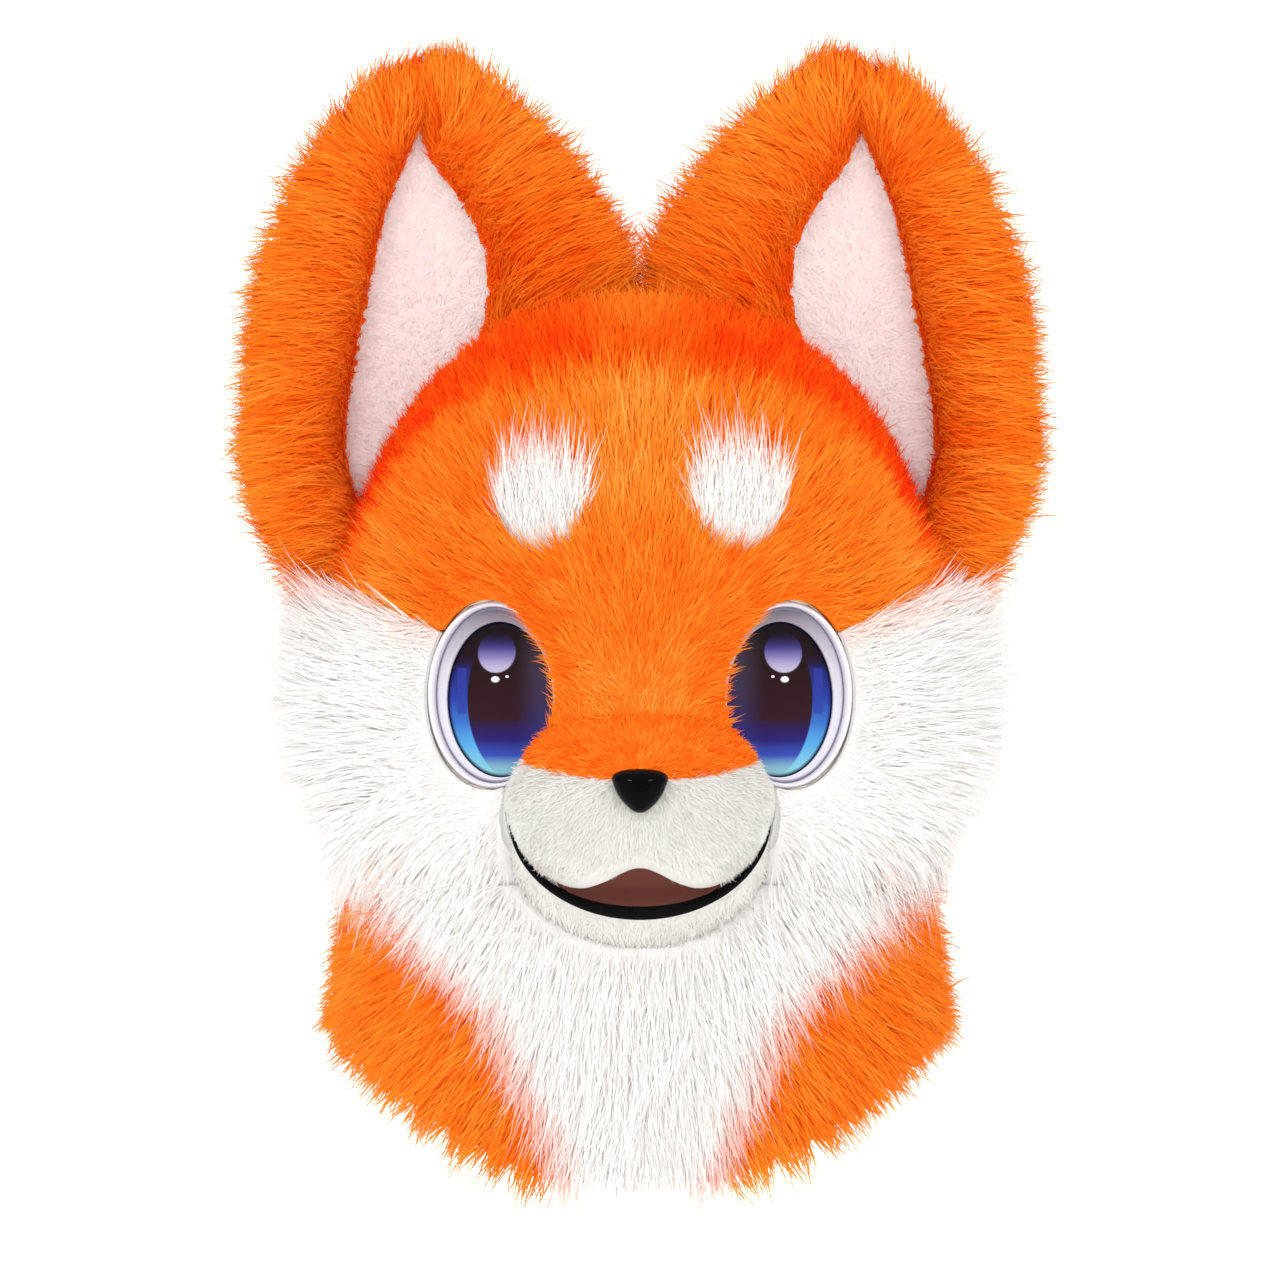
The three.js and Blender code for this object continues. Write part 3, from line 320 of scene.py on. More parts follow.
def fur_coat_tree():
    """Node tree that grows strands on the faces marked skin, and keeps the backing under them.

    A strand is a narrow blade rooted in the backing. It leans along the flow, bends over
    towards its tip, and is drawn towards the nearest of a few scattered clump centres.
    """
    tree = bpy.data.node_groups.new("fur_coat", "GeometryNodeTree")
    for name, kind, value in (
        ("Sheet", "NodeSocketGeometry", None),
        ("Density", "NodeSocketFloat", 1.0e5),
        ("Width", "NodeSocketFloat", 0.001),
        ("Rise", "NodeSocketFloat", 0.6),
        ("Sweep", "NodeSocketFloat", 0.7),
        ("Points along", "NodeSocketInt", 3),
        ("Clump share", "NodeSocketFloat", 0.02),
        ("Clumping", "NodeSocketFloat", 0.5),
        ("Wave", "NodeSocketFloat", 0.5),
        ("Stray", "NodeSocketFloat", 0.3),
        ("Tone spread", "NodeSocketFloat", 0.25),
        ("Seed", "NodeSocketInt", 1),
        ("Coat", "NodeSocketMaterial", None),
    ):
        socket = tree.interface.new_socket(name, in_out="INPUT", socket_type=kind)
        if value is not None:
            socket.default_value = value
    tree.interface.new_socket("Geometry", in_out="OUTPUT", socket_type="NodeSocketGeometry")
    given = add(tree, "NodeGroupInput").outputs
    where = add(tree, "GeometryNodeInputPosition").outputs[0]

    def named(name, kind="FLOAT"):
        node = add(tree, "GeometryNodeInputNamedAttribute", {0: name}, data_type=kind)
        return node.outputs[0]

    def chance(low, high, seed, kind="FLOAT"):
        numbers = {"FLOAT": (2, 3, 1), "FLOAT_VECTOR": (0, 1, 0)}[kind]
        inputs = {numbers[0]: low, numbers[1]: high, "Seed": math(tree, "ADD", given["Seed"], seed)}
        return add(tree, "FunctionNodeRandomValue", inputs, data_type=kind).outputs[numbers[2]]

    def combined(x, y, z):
        return add(tree, "ShaderNodeCombineXYZ", {0: x, 1: y, 2: z}).outputs[0]

    def store(geometry, name, value, kind="FLOAT", domain="POINT"):
        inputs = {"Geometry": geometry, "Name": name, "Value": value}
        node = add(tree, "GeometryNodeStoreNamedAttribute", inputs, data_type=kind, domain=domain)
        return node.outputs[0]

    blade = add(
        tree,
        "GeometryNodeMeshGrid",
        {"Size X": 1.0, "Size Y": 1.0, "Vertices X": 2, "Vertices Y": given["Points along"]},
    ).outputs[0]
    across, up, _ = add(tree, "ShaderNodeSeparateXYZ", {0: where}).outputs
    along = math(tree, "ADD", up, 0.5, clamp=True)
    left = math(tree, "SUBTRACT", 1.0, along, clamp=True)
    thin = math(tree, "POWER", left, 0.7)
    forward = math(tree, "POWER", along, 1.5)
    rise = math(tree, "SUBTRACT", 1.0, math(tree, "POWER", left, 1.5))
    tilt = math(tree, "MULTIPLY", math(tree, "MULTIPLY", across, thin), 0.03)
    bent = combined(math(tree, "MULTIPLY", across, thin), forward, math(tree, "ADD", rise, tilt))
    blade = store(blade, "along", along)
    blade = add(tree, "GeometryNodeSetPosition", {"Geometry": blade, "Position": bent}).outputs[0]
    merge = {"Geometry": blade, "Distance": 0.0001}
    blade = add(tree, "GeometryNodeMergeByDistance", merge).outputs[0]

    skin = named("skin", "BOOLEAN")
    scatter = add(
        tree,
        "GeometryNodeDistributePointsOnFaces",
        {
            "Mesh": given["Sheet"],
            "Selection": skin,
            "Density": math(tree, "MULTIPLY", given["Density"], named("cover")),
            "Seed": given["Seed"],
        },
    )
    few = add(
        tree,
        "GeometryNodeDistributePointsOnFaces",
        {
            "Mesh": given["Sheet"],
            "Selection": skin,
            "Density": math(tree, "MULTIPLY", given["Density"], given["Clump share"]),
            "Seed": math(tree, "ADD", given["Seed"], 50),
        },
    ).outputs[0]
    nearest = add(tree, "GeometryNodeSampleNearest", {"Geometry": few, "Sample Position": where})
    centre = add(
        tree,
        "GeometryNodeSampleIndex",
        {"Geometry": few, "Value": where, "Index": nearest.outputs[0]},
        data_type="FLOAT_VECTOR",
    ).outputs[0]
    centre_chance = add(
        tree,
        "GeometryNodeSampleIndex",
        {"Geometry": few, "Value": chance(-1.0, 1.0, 9), "Index": nearest.outputs[0]},
        data_type="FLOAT",
    ).outputs[0]
    points = store(scatter.outputs[0], "coat", scatter.outputs["Normal"], "FLOAT_VECTOR")
    pile = named("pile")
    noise = add(tree, "ShaderNodeTexNoise", {"Vector": where, "Scale": 45.0, "Detail": 2.0}).outputs
    wave = vector_math(tree, "SUBTRACT", noise[1], (0.5, 0.5, 0.5))
    pull = scaled(
        tree,
        vector_math(tree, "SUBTRACT", centre, where),
        math(tree, "DIVIDE", given["Clumping"], pile),
    )
    stray = scaled(tree, chance((-1, -1, -1), (1, 1, 1), 1, "FLOAT_VECTOR"), given["Stray"])
    flow = vector_math(tree, "ADD", named("flow", "FLOAT_VECTOR"), pull)
    flow = vector_math(tree, "ADD", flow, scaled(tree, wave, given["Wave"]))
    flow = vector_math(tree, "ADD", flow, stray)
    lean = scaled(tree, chance((-1, -1, -1), (1, 1, 1), 2, "FLOAT_VECTOR"), 0.35)
    upright = vector_math(tree, "ADD", named("coat", "FLOAT_VECTOR"), lean)
    turned = add(
        tree,
        "FunctionNodeAxesToRotation",
        {"Primary Axis": upright, "Secondary Axis": flow},
        primary_axis="Z",
        secondary_axis="Y",
    ).outputs[0]
    wisp = math(tree, "MULTIPLY", math(tree, "POWER", chance(0.0, 1.0, 3), 3.0), 0.8)
    size = math(tree, "MULTIPLY", pile, math(tree, "ADD", wisp, 0.72))
    width = math(tree, "MULTIPLY", given["Width"], chance(0.7, 1.3, 4))
    sweep = math(tree, "MULTIPLY", size, math(tree, "MULTIPLY", given["Sweep"], chance(0.8, 1.2, 5)))
    height = math(tree, "MULTIPLY", size, math(tree, "MULTIPLY", given["Rise"], chance(0.75, 1.1, 6)))
    spread = math(tree, "ADD", chance(-1.0, 1.0, 7), math(tree, "MULTIPLY", centre_chance, 0.8))
    spread = math(tree, "MULTIPLY", spread, math(tree, "MULTIPLY", given["Tone spread"], 0.6))
    tone = math(tree, "ADD", named("tone"), spread, clamp=True)
    points = store(points, "tone", tone)
    strands = add(
        tree,
        "GeometryNodeInstanceOnPoints",
        {"Points": points, "Instance": blade, "Rotation": turned, "Scale": combined(width, sweep, height)},
    ).outputs[0]
    strands = add(tree, "GeometryNodeRealizeInstances", {0: strands}).outputs[0]
    whole = add(tree, "GeometryNodeJoinGeometry")
    tree.links.new(strands, whole.inputs[0])
    tree.links.new(given["Sheet"], whole.inputs[0])
    print_place = combined(named("tone"), named("along"), 0.0)
    result = store(whole.outputs[0], "OFBake", print_place, "FLOAT2", "CORNER")
    for name in ("pile", "flow", "cover", "skin"):
        result = add(tree, "GeometryNodeRemoveAttribute", {"Geometry": result, "Name": name}).outputs[0]
    result = add(tree, "GeometryNodeSetShadeSmooth", {"Geometry": result}).outputs[0]
    result = add(tree, "GeometryNodeSetMaterial", {"Geometry": result, "Material": given["Coat"]}).outputs[0]
    add(tree, "NodeGroupOutput", {0: result})
    return tree


def fur_material(name, stops, root_shade):
    """Fur whose colour runs with each strand's tone, and darkens towards its root: partly the fur's own
    darker roots, partly painted shade for the shadow among the strands.
    """
    material, shader = new_material(name, Roughness=0.9, Specular_IOR_Level=0.08)
    tree = material.node_tree
    colour = ramp(tree, attribute(tree, "tone").outputs["Fac"], stops)
    along = attribute(tree, "along").outputs["Fac"]
    # Painted shade: towards the root the colour is multiplied by root_shade, standing in for the shadow deep
    # among the strands.
    rooted = math(tree, "MULTIPLY", math(tree, "SUBTRACT", 0.75, along, clamp=True), 1.1, clamp=True)
    shaded = {0: 1.0, 6: colour, 7: linear(*root_shade)}
    root_shaded_colour = add(tree, "ShaderNodeMix", shaded, data_type="RGBA", blend_type="MULTIPLY").outputs[2]
    colour = mixed(tree, rooted, colour, root_shaded_colour)
    tree.links.new(colour, shader.inputs["Base Color"])
    own = add(tree, "ShaderNodeNewGeometry").outputs["Normal"]
    coat = attribute(tree, "coat").outputs["Vector"]
    agreement = add(tree, "ShaderNodeVectorMath", {0: own, 1: coat}, operation="DOT_PRODUCT").outputs["Value"]
    coat = scaled(tree, coat, math(tree, "SIGN", agreement))
    blend = vector_math(tree, "ADD", scaled(tree, own, 0.18), scaled(tree, coat, 0.82))
    tree.links.new(vector_math(tree, "NORMALIZE", blend), shader.inputs["Normal"])
    glow = add(tree, "ShaderNodeBsdfTranslucent", {"Color": colour}).outputs[0]
    both = add(tree, "ShaderNodeMixShader", {0: 0.3, 1: shader.outputs[0], 2: glow}).outputs[0]
    output = next(node for node in tree.nodes if node.type == "OUTPUT_MATERIAL")
    tree.links.new(both, output.inputs["Surface"])
    return material


ORANGE_STOPS = [
    (0.0, (255, 66, 2)),
    (0.3, (255, 110, 12)),
    (0.55, (255, 142, 32)),
    (0.8, (255, 166, 54)),
    (1.0, (255, 190, 88)),
]
WHITE_STOPS = [
    (0.0, (254, 206, 192)),
    (0.3, (253, 234, 228)),
    (0.6, (253, 251, 249)),
    (1.0, (254, 254, 253)),
]
coat_tree = fur_coat_tree()
orange_fur = fur_material("fur_orange", ORANGE_STOPS, (255, 214, 190))
white_fur = fur_material("fur_white", WHITE_STOPS, (251, 249, 248))


def furred(name, rows, triangles, pile, flow, tone, cover=1.0, raised=0.42, backing=1.5, **coat):
    """A panel of fur: its backing as a closed sheet with an undercoat, and strands on it.

    rows and triangles are its skin, and pile, flow, tone and cover hold a value a point.
    """
    points, normals = rows[:, :3], rows[:, 3:6]
    count = len(points)
    pile = np.broadcast_to(np.asarray(pile, dtype=float), count)
    tone = np.broadcast_to(np.asarray(tone, dtype=float), count)
    cover = np.broadcast_to(np.asarray(cover, dtype=float), count)
    outer = points + normals * (pile * raised)[:, None]
    inner = points - normals * backing
    edges = np.concatenate([triangles[:, [0, 1]], triangles[:, [1, 2]], triangles[:, [2, 0]]])
    codes = edges[:, 0] * count + edges[:, 1]
    border = edges[~np.isin(codes, edges[:, 1] * count + edges[:, 0])]
    sides = np.concatenate(
        [
            np.stack([border[:, 1], border[:, 0], border[:, 0] + count], 1),
            np.stack([border[:, 1], border[:, 0] + count, border[:, 1] + count], 1),
        ]
    )
    faces = np.concatenate([triangles, triangles[:, ::-1] + count, sides])
    skin = np.arange(len(faces)) < len(triangles)

    def twice(values):
        return np.concatenate([values, values])

    sheet = mesh_object(
        name,
        np.concatenate([outer, inner]),
        faces,
        {
            "pile": ("POINT", "FLOAT", twice(pile * MM)),
            "flow": ("POINT", "FLOAT_VECTOR", twice(flow)),
            "tone": ("POINT", "FLOAT", twice(tone)),
            "cover": ("POINT", "FLOAT", twice(cover)),
            "coat": ("POINT", "FLOAT_VECTOR", np.concatenate([normals, -normals])),
            "along": ("POINT", "FLOAT", np.full(2 * count, UNDERCOAT_ALONG)),
            "skin": ("FACE", "BOOLEAN", skin),
        },
    )
    grow = sheet.modifiers.new("Coat", "NODES")
    grow.node_group = coat_tree
    for socket in coat_tree.interface.items_tree:
        if socket.in_out == "INPUT" and socket.name in coat:
            grow[socket.identifier] = coat[socket.name]
    mesh = evaluated_mesh(sheet)
    mesh.name = name
    obj = bpy.data.objects.new(name, mesh)
    bpy.context.scene.collection.objects.link(obj)
    return obj


FLOW_FROM = np.array([0.0, -177.0, -160.0])


def along_skin(vectors, normals):
    """Vectors turned into the skin's plane, at unit length."""
    flat = vectors - normals * (vectors * normals).sum(1)[:, None]
    return flat / np.maximum(np.linalg.norm(flat, axis=1), 1e-6)[:, None]


def flow_away(rows):
    """The way the fur is brushed: away from the nose, and downwards at the back."""
    points, normals = rows[:, :3], rows[:, 3:6]
    away = points - FLOW_FROM
    away = away / np.linalg.norm(away, axis=1)[:, None]
    behind = smoothstep(10.0, 110.0, points[:, 1])[:, None]
    return along_skin(away * (1 - behind) + np.array([0.0, 0.0, -1.0]) * behind, normals)


HEAD_COLUMNS, HEAD_ROWS = 96, 64
SKIN_OFFSET, VOXEL, SKIN_SMOOTHING = 2.0, 3.5, 5
head_azimuths = np.arange(HEAD_COLUMNS) * 2 * np.pi / HEAD_COLUMNS
head_polars = np.linspace(0.0, np.pi, HEAD_ROWS)
head_grid = head_point(*np.meshgrid(head_azimuths, head_polars), SKIN_OFFSET).reshape(-1, 3)

MUZZLE_ROOT, MUZZLE_REACH, MUZZLE_Z = 85.0, 92.0, -189.0
MUZZLE_HALF, MUZZLE_RISE, MUZZLE_FALL, MUZZLE_SQUARENESS = 60.0, 42.0, 46.0, 2.3
MUZZLE_INSET, MUZZLE_COLUMNS, MUZZLE_STATIONS = 3.5, 96, 40
PHILTRUM_RISE, PHILTRUM_WIDTH = 16.0, 18.0
MUZZLE_SECTIONS = [
    (0, 1.0, 1.0, 1.0),
    (0.33, 1.0, 0.98, 1.0),
    (0.55, 0.95, 0.8, 0.99),
    (0.74, 0.83, 0.58, 0.95),
    (0.88, 0.62, 0.4, 0.8),
    (0.97, 0.34, 0.22, 0.48),
    (1.0, 0, 0, 0),
]


def super_ellipse(angle, half, rise, fall, squareness):
    x = np.sign(np.sin(angle)) * np.abs(np.sin(angle)) ** (2 / squareness)
    z = np.sign(np.cos(angle)) * np.abs(np.cos(angle)) ** (2 / squareness)
    return x * half, z * np.where(z > 0, rise, fall)


def muzzle_grid():
    rings = []
    angle = np.arange(MUZZLE_COLUMNS) * 2 * np.pi / MUZZLE_COLUMNS
    for share in 1 - (1 - np.linspace(0, 1, MUZZLE_STATIONS)) ** 1.4:
        sizes = []
        for index, full in ((1, MUZZLE_HALF), (2, MUZZLE_RISE), (3, MUZZLE_FALL)):
            inset = MUZZLE_INSET if share < 1 else 0.0
            sizes.append(max(0.0, column(MUZZLE_SECTIONS, index, share) * full - inset))
        x, z = super_ellipse(angle, *sizes, MUZZLE_SQUARENESS)
        low = np.clip(-z / MUZZLE_FALL, 0, 1) * (1 + 1.2 * smoothstep(0.5, 0.15, share))
        z = z + PHILTRUM_RISE * low * np.exp(-((x / PHILTRUM_WIDTH) ** 2))
        forward = column(MUZZLE_SECTIONS, 0, share) * (MUZZLE_REACH - MUZZLE_INSET)
        rings.append(np.stack([x, np.full_like(x, -MUZZLE_ROOT - forward), MUZZLE_Z + z], 1))
    rings.insert(0, np.tile(rings[0].mean(0), (MUZZLE_COLUMNS, 1)))
    return np.concatenate(rings)


muzzle_points = muzzle_grid()
skin_rows, skin_triangles = surface(
    np.concatenate([head_grid, muzzle_points]),
    np.concatenate(
        [
            loft_faces(HEAD_ROWS, HEAD_COLUMNS),
            loft_faces(MUZZLE_STATIONS + 1, MUZZLE_COLUMNS) + len(head_grid),
        ]
    ),
    VOXEL,
    SKIN_SMOOTHING,
)
skin_points = skin_rows[:, :3]
skin_bvh = bvh(skin_rows, skin_triangles)

EYE_X, EYE_Z, EYE_YAW = 62.0, -144.0, np.radians(24)
EYE_HALF_WIDTH, EYE_HALF_HEIGHT, EYE_RIM_PROUD = 31.0, 40.5, 4.0
EYE_MEAN_HALF, EYE_REACH, FAR_OFF, HALVINGS = 35, 48, 60.0, 30


def face_y(x, z):
    near, far = -2 * FACE_DEPTH, 0.0
    for _ in range(HALVINGS):
        middle = (near + far) / 2
        if head_distance(np.array([x, middle, z])) > 0:
            near = middle
        else:
            far = middle
    return far


EYE_Y = face_y(EYE_X, EYE_Z) + EYE_RIM_PROUD / 2


def eye_axes(side):
    """Centre of an eye, and its axes across and into the head."""
    yaw = side * EYE_YAW
    centre = np.array([side * EYE_X, EYE_Y, EYE_Z])
    return centre, np.array([np.cos(yaw), np.sin(yaw), 0.0]), np.array([-np.sin(yaw), np.cos(yaw), 0.0])


def outside_eyes(points, grow=0.4):
    """About how far points lie outside the eye holes, seen along each eye's own axis."""
    gaps = []
    for side in (-1, 1):
        centre, across, inward = eye_axes(side)
        local = points - centre
        u, v, w = local @ across, local[:, 2], local @ inward
        q = np.sqrt((u / (EYE_HALF_WIDTH + grow)) ** 2 + (v / (EYE_HALF_HEIGHT + grow)) ** 2)
        gaps.append(np.where(np.abs(w) < EYE_REACH, (q - 1) * EYE_MEAN_HALF, FAR_OFF))
    return np.minimum(*gaps)


SEAM_OUT = np.array([0, 0.14, 0.29, 0.44, 0.5, 0.73, 0.87, 1.06, 1.27, 1.6]) * 118
SEAM_Z = np.array([-1.26, -1.255, -1.24, -1.2, -1.02, -0.8, -0.73, -0.69, -0.67, -0.66]) * 144


def above_seam(points):
    """How far points lie above the seam between orange and white."""
    heights = [np.interp(np.abs(points[:, 0]) + d, SEAM_OUT, SEAM_Z) for d in (-5, -2.5, 0, 2.5, 5)]
    return points[:, 2] - np.mean(heights, axis=0)


BROW_X, BROW_Z, BROW_HALF_WIDTH, BROW_HALF_HEIGHT, BROW_TOP_HALF_HEIGHT = 41.0, -64.0, 18.0, 20.0, 12.0


def outside_brow(points):
    x, z = np.abs(points[:, 0]) - BROW_X, points[:, 2] - BROW_Z
    half_height = np.where(z > 0, BROW_TOP_HALF_HEIGHT, BROW_HALF_HEIGHT)
    q = np.sqrt((x / BROW_HALF_WIDTH) ** 2 + (z / half_height) ** 2)
    return (q - 1) * BROW_HALF_WIDTH


MUZZLE_STARTS_OUT, MUZZLE_BACK_Y = 3.0, -70.0
off_head = head_distance(skin_points) - SKIN_OFFSET - MUZZLE_STARTS_OUT
on_muzzle = np.minimum(off_head, MUZZLE_BACK_Y - skin_points[:, 1])
over_seam = above_seam(skin_points)
eye_gap = outside_eyes(skin_points)
brow_gap = outside_brow(skin_points)
FOREHEAD_BACK_Y, CHEEK_BACK_Y = -4.0, 26.0
x_axis, y_axis, z_axis = skin_points.T
in_front = FOREHEAD_BACK_Y - y_axis

# Ears' forms, which the head's fur has to keep clear of.
# Each is a cupped foam blade with a rolled rim round a recess, wide at its base.
EAR_SPAN, EAR_HEIGHT, EAR_BASE_Z, EAR_FRONT_Y = 160.0, 223.0, -95.0, 4.0
EAR_CUP, EAR_RIM, EAR_RECESS, EAR_STATIONS = 36.0, 11.0, 3.0, 44
EAR_SECTIONS = [
    (0.84, -0.02, 0.1, 0.34, 0.14, 0.5, 1, 1, 0.8),
    (1, 0.19, 0.09, 0.48, 0.19, 0.59, 1, 1, 1),
    (1.005, 0.37, 0.1, 0.6, 0.22, 0.67, 0.95, 0.95, 1),
    (0.98, 0.54, 0.16, 0.695, 0.27, 0.71, 0.88, 0.8, 0.9),
    (0.91, 0.695, 0.26, 0.795, 0.3, 0.67, 0.78, 0.62, 0.65),
    (0.81, 0.84, 0.36, 0.88, 0.37, 0.54, 0.64, 0.44, 0.3),
    (0.69, 0.945, 0.475, 0.95, 0.45, 0.47, 0.5, 0.28, 0.02),
    (0.62, 0.99, 0.53, 0.995, 0.47, 0.49, 0.32, 0.16, 0),
]
EAR_SKIN = 3.5


def ear_ring(share):
    """One section of the right ear, and for each point how far into the lining it lies."""
    value = [column(EAR_SECTIONS, index, share) for index in range(9)]
    outer = np.array([value[0] * EAR_SPAN, EAR_FRONT_Y, value[1] * EAR_HEIGHT + EAR_BASE_Z])
    inner = np.array([value[2] * EAR_SPAN, EAR_FRONT_Y, value[3] * EAR_HEIGHT + EAR_BASE_Z])
    start, end = value[4], value[5]
    rim, cup, recess = value[6] * EAR_RIM, value[7] * EAR_CUP, max(0.0, value[8]) * EAR_RECESS
    t1, t2 = np.linspace(0, 1, 9)[:-1], np.linspace(0, 1, 15)[:-1]
    t3, t4 = np.linspace(0, 1, 16)[:-1], np.linspace(1, 0, 26)[:-1]
    s = np.concatenate([start * t1, start + (end - start) * t2, end + (1 - end) * t3, t4])
    y = np.concatenate(
        [
            -rim * np.sin(np.pi * t1) ** 0.8,
            recess * np.sin(np.pi * t2) ** 0.6,
            -rim * np.sin(np.pi * t3) ** 0.8,
            cup * np.abs(np.sin(np.pi * t4)) ** 0.7,
        ]
    )
    lining = np.concatenate([t1 * 0 - 1, np.minimum(t2, 1 - t2), t3 * 0 - 1, t4 * 0 - 1])
    chord = inner - outer
    width = np.linalg.norm(chord)
    flat = np.stack([s * width, y], 1)
    step = np.roll(flat, -1, 0) - np.roll(flat, 1, 0)
    normal = np.stack([step[:, 1], -step[:, 0]], 1)
    normal /= np.maximum(np.linalg.norm(normal, axis=1), 1e-6)[:, None]
    grown = flat + normal * (EAR_SKIN * (lining < 0))[:, None]
    points = outer + np.outer(grown[:, 0] / width, chord)
    points[:, 1] += grown[:, 1]
    return points, lining


ear_rings = [ear_ring(share) for share in np.linspace(0, 1, EAR_STATIONS)]
ear_points = np.array([ring for ring, _ in ear_rings])
EAR_TIP_RISE, CAP_SHARES = 6.0, (0.45, 0.8)
ear_top = ear_points[-1].mean(0) + np.array([0, 0, EAR_TIP_RISE])
ear_cap = [ear_points[-1] * (1 - t) + ear_top * t for t in CAP_SHARES]
for level, t in zip(ear_cap, CAP_SHARES):
    level[:, 2] = ear_points[-1][:, 2] + (ear_top[2] - ear_points[-1][:, 2]) * (1 - (1 - t) ** 2)
ear_count = ear_points.shape[1]
ear_base = np.tile(ear_points[0].mean(0), (ear_count, 1))
ear_tip = np.tile(ear_top, (ear_count, 1))
ear_all = np.concatenate([ear_base[None], ear_points, np.array(ear_cap), ear_tip[None]])
ear_quads = loft_faces(len(ear_all), ear_count)
ear_rows, ear_triangles = surface(ear_all.reshape(-1, 3), ear_quads, 3.1, 2)
ear_bvh = bvh(ear_rows, ear_triangles)


def clear_of_ears(points):
    """How far points lie outside both ears."""
    folded = points.copy()
    folded[:, 0] = np.abs(folded[:, 0])
    near = (folded[:, 2] > -120) & (np.abs(folded[:, 1]) < 70)
    gap = np.full(len(points), FAR_OFF)
    gap[near] = depth_outside(folded[near], ear_bvh)
    return gap


DOME_OUT, DOME_Z = [0, 34, 60, 82, 95, 108, 120, 132, 150], [-14, -14, -18, -28, -42, -66, -100, -122, -160]


def over_dome(points):
    """How far points lie above the outline of the forehead's lighter fur in the front view."""
    return points[:, 2] - np.interp(np.abs(points[:, 0]), DOME_OUT, DOME_Z)


# Orange forehead, from the muzzle's root up over the brows.
# Faux fur cut close round the eyes, with longer pile that is brushed up and outwards.
def near_eye(points):
    """Share of the pile that is left by the cut round the eyes."""
    nose_side = smoothstep(EYE_X - 4, EYE_X - 16, np.abs(points[:, 0]))
    least = 0.3 + 0.55 * nose_side
    return least + (1 - least) * smoothstep(0, 14, outside_eyes(points))


def forehead_tone(points):
    """Lighter in the middle above the brows and at the temples, with a painted highlight on the bridge and
    painted shade at the sides next to the ear bases.
    """
    x, z = np.abs(points[:, 0]), points[:, 2]
    middle = smoothstep(32, 10, x) * smoothstep(-95, -55, z)
    temple = smoothstep(80, 104, x) * smoothstep(-64, -88, z)
    # Painted shade: darker at the outer sides where the ears meet the head. Painted highlight: lighter on the
    # bridge between the eyes.
    outer = smoothstep(100, 116, x) * smoothstep(-118, -96, z)
    bridge_highlight = smoothstep(30, 12, x) * smoothstep(-120, -134, z)
    return 0.57 + 0.22 * np.maximum(middle, 0.8 * temple) + 0.16 * bridge_highlight - 0.45 * outer


nose_lap = 1.5 * smoothstep(EYE_X - 10, EYE_X - 18, np.abs(x_axis))
rows, triangles = clipped(
    skin_rows,
    skin_triangles,
    np.minimum.reduce([over_seam, in_front, brow_gap, eye_gap + nose_lap, -on_muzzle]),
)
points = rows[:, :3]
ear_gap, dome_gap = clear_of_ears(points), over_dome(points)
over_top = 1.0 - 0.3 * smoothstep(-25, 5, dome_gap)
beside_ear = 0.55 + 0.45 * smoothstep(2, 26, ear_gap)
forehead_fur = furred(
    "forehead_coat",
    rows,
    triangles,
    pile=pile_length(points) * over_top * beside_ear * near_eye(points),
    flow=flow_away(rows),
    # Redder in a band just above the forehead's outline and lighter beyond it: partly the longer fur's deeper
    # colour, partly painted shade in the crease before the ear bases.
    tone=forehead_tone(points) - 0.48 * smoothstep(-12, 10, dome_gap) + 0.2 * smoothstep(8, 32, dome_gap),
    cover=smoothstep(-3, 2, ear_gap),
    Density=825000.0,
    Width=0.0007,
    Rise=0.32,
    Sweep=1.05,
    Wave=0.5,
    Stray=0.28,
    Seed=11,
    Coat=orange_fur,
)
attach(forehead_fur, "root")
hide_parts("forehead_fur")

# Brow spots, one on each side.
# Small ovals of white fur let into the forehead, whose pile stands up into the orange.
for name, side in (("left", -1), ("right", 1)):
    spot = np.minimum.reduce([-brow_gap, in_front, side * x_axis])
    rows, triangles = clipped(skin_rows, skin_triangles, spot)
    brow = furred(
        "brow_coat_" + name,
        rows,
        triangles,
        pile=6.0 + 18.0 * smoothstep(-82, -52, rows[:, 2]),
        flow=along_skin(np.array([0.0, 0.0, 1.0]), rows[:, 3:6]),
        tone=0.75 - 0.35 * smoothstep(-64, -52, rows[:, 2]),
        cover=1.0 - 0.75 * smoothstep(-64, -53, rows[:, 2]),
        raised=0.3,
        Density=1900000.0,
        Width=0.0006,
        Rise=0.35,
        Sweep=1.2,
        Stray=0.2,
        Wave=0.4,
        Clumping=0.8,
        Seed=21 + side,
        Coat=white_fur,
    )
    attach(brow, "root")
    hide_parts("brow_fur_" + name)

# White cheeks, one on each side.
# The longest pile of the head, brushed out sideways from the eyes and muzzle.
JAW_SIZES, JAW_CENTRE = np.array([62.0, 56.0, 54.0]), np.array([0.0, -95.0, -205.0])


def jaw_share(points):
    """Distance from the middle of the jaw's ball, as a share of its size."""
    return np.linalg.norm((points - JAW_CENTRE) / JAW_SIZES, axis=1)


def clear_of_jaw(points):
    """Zero inside the jaw's ball, where hairs would grow into the mouth."""
    return smoothstep(0.94, 1.0, jaw_share(points))


def jaw_cut(points):
    """Share of the pile that is left inside the jaw's ball, so that no coat fills the mouth."""
    return 0.1 + 0.9 * smoothstep(0.86, 0.95, jaw_share(points))


def over_neck(points):
    """Near the rim, where the white pile falls over the orange of the neck."""
    return smoothstep(-198, -222, points[:, 2]) * smoothstep(80, 100, np.abs(points[:, 0]))


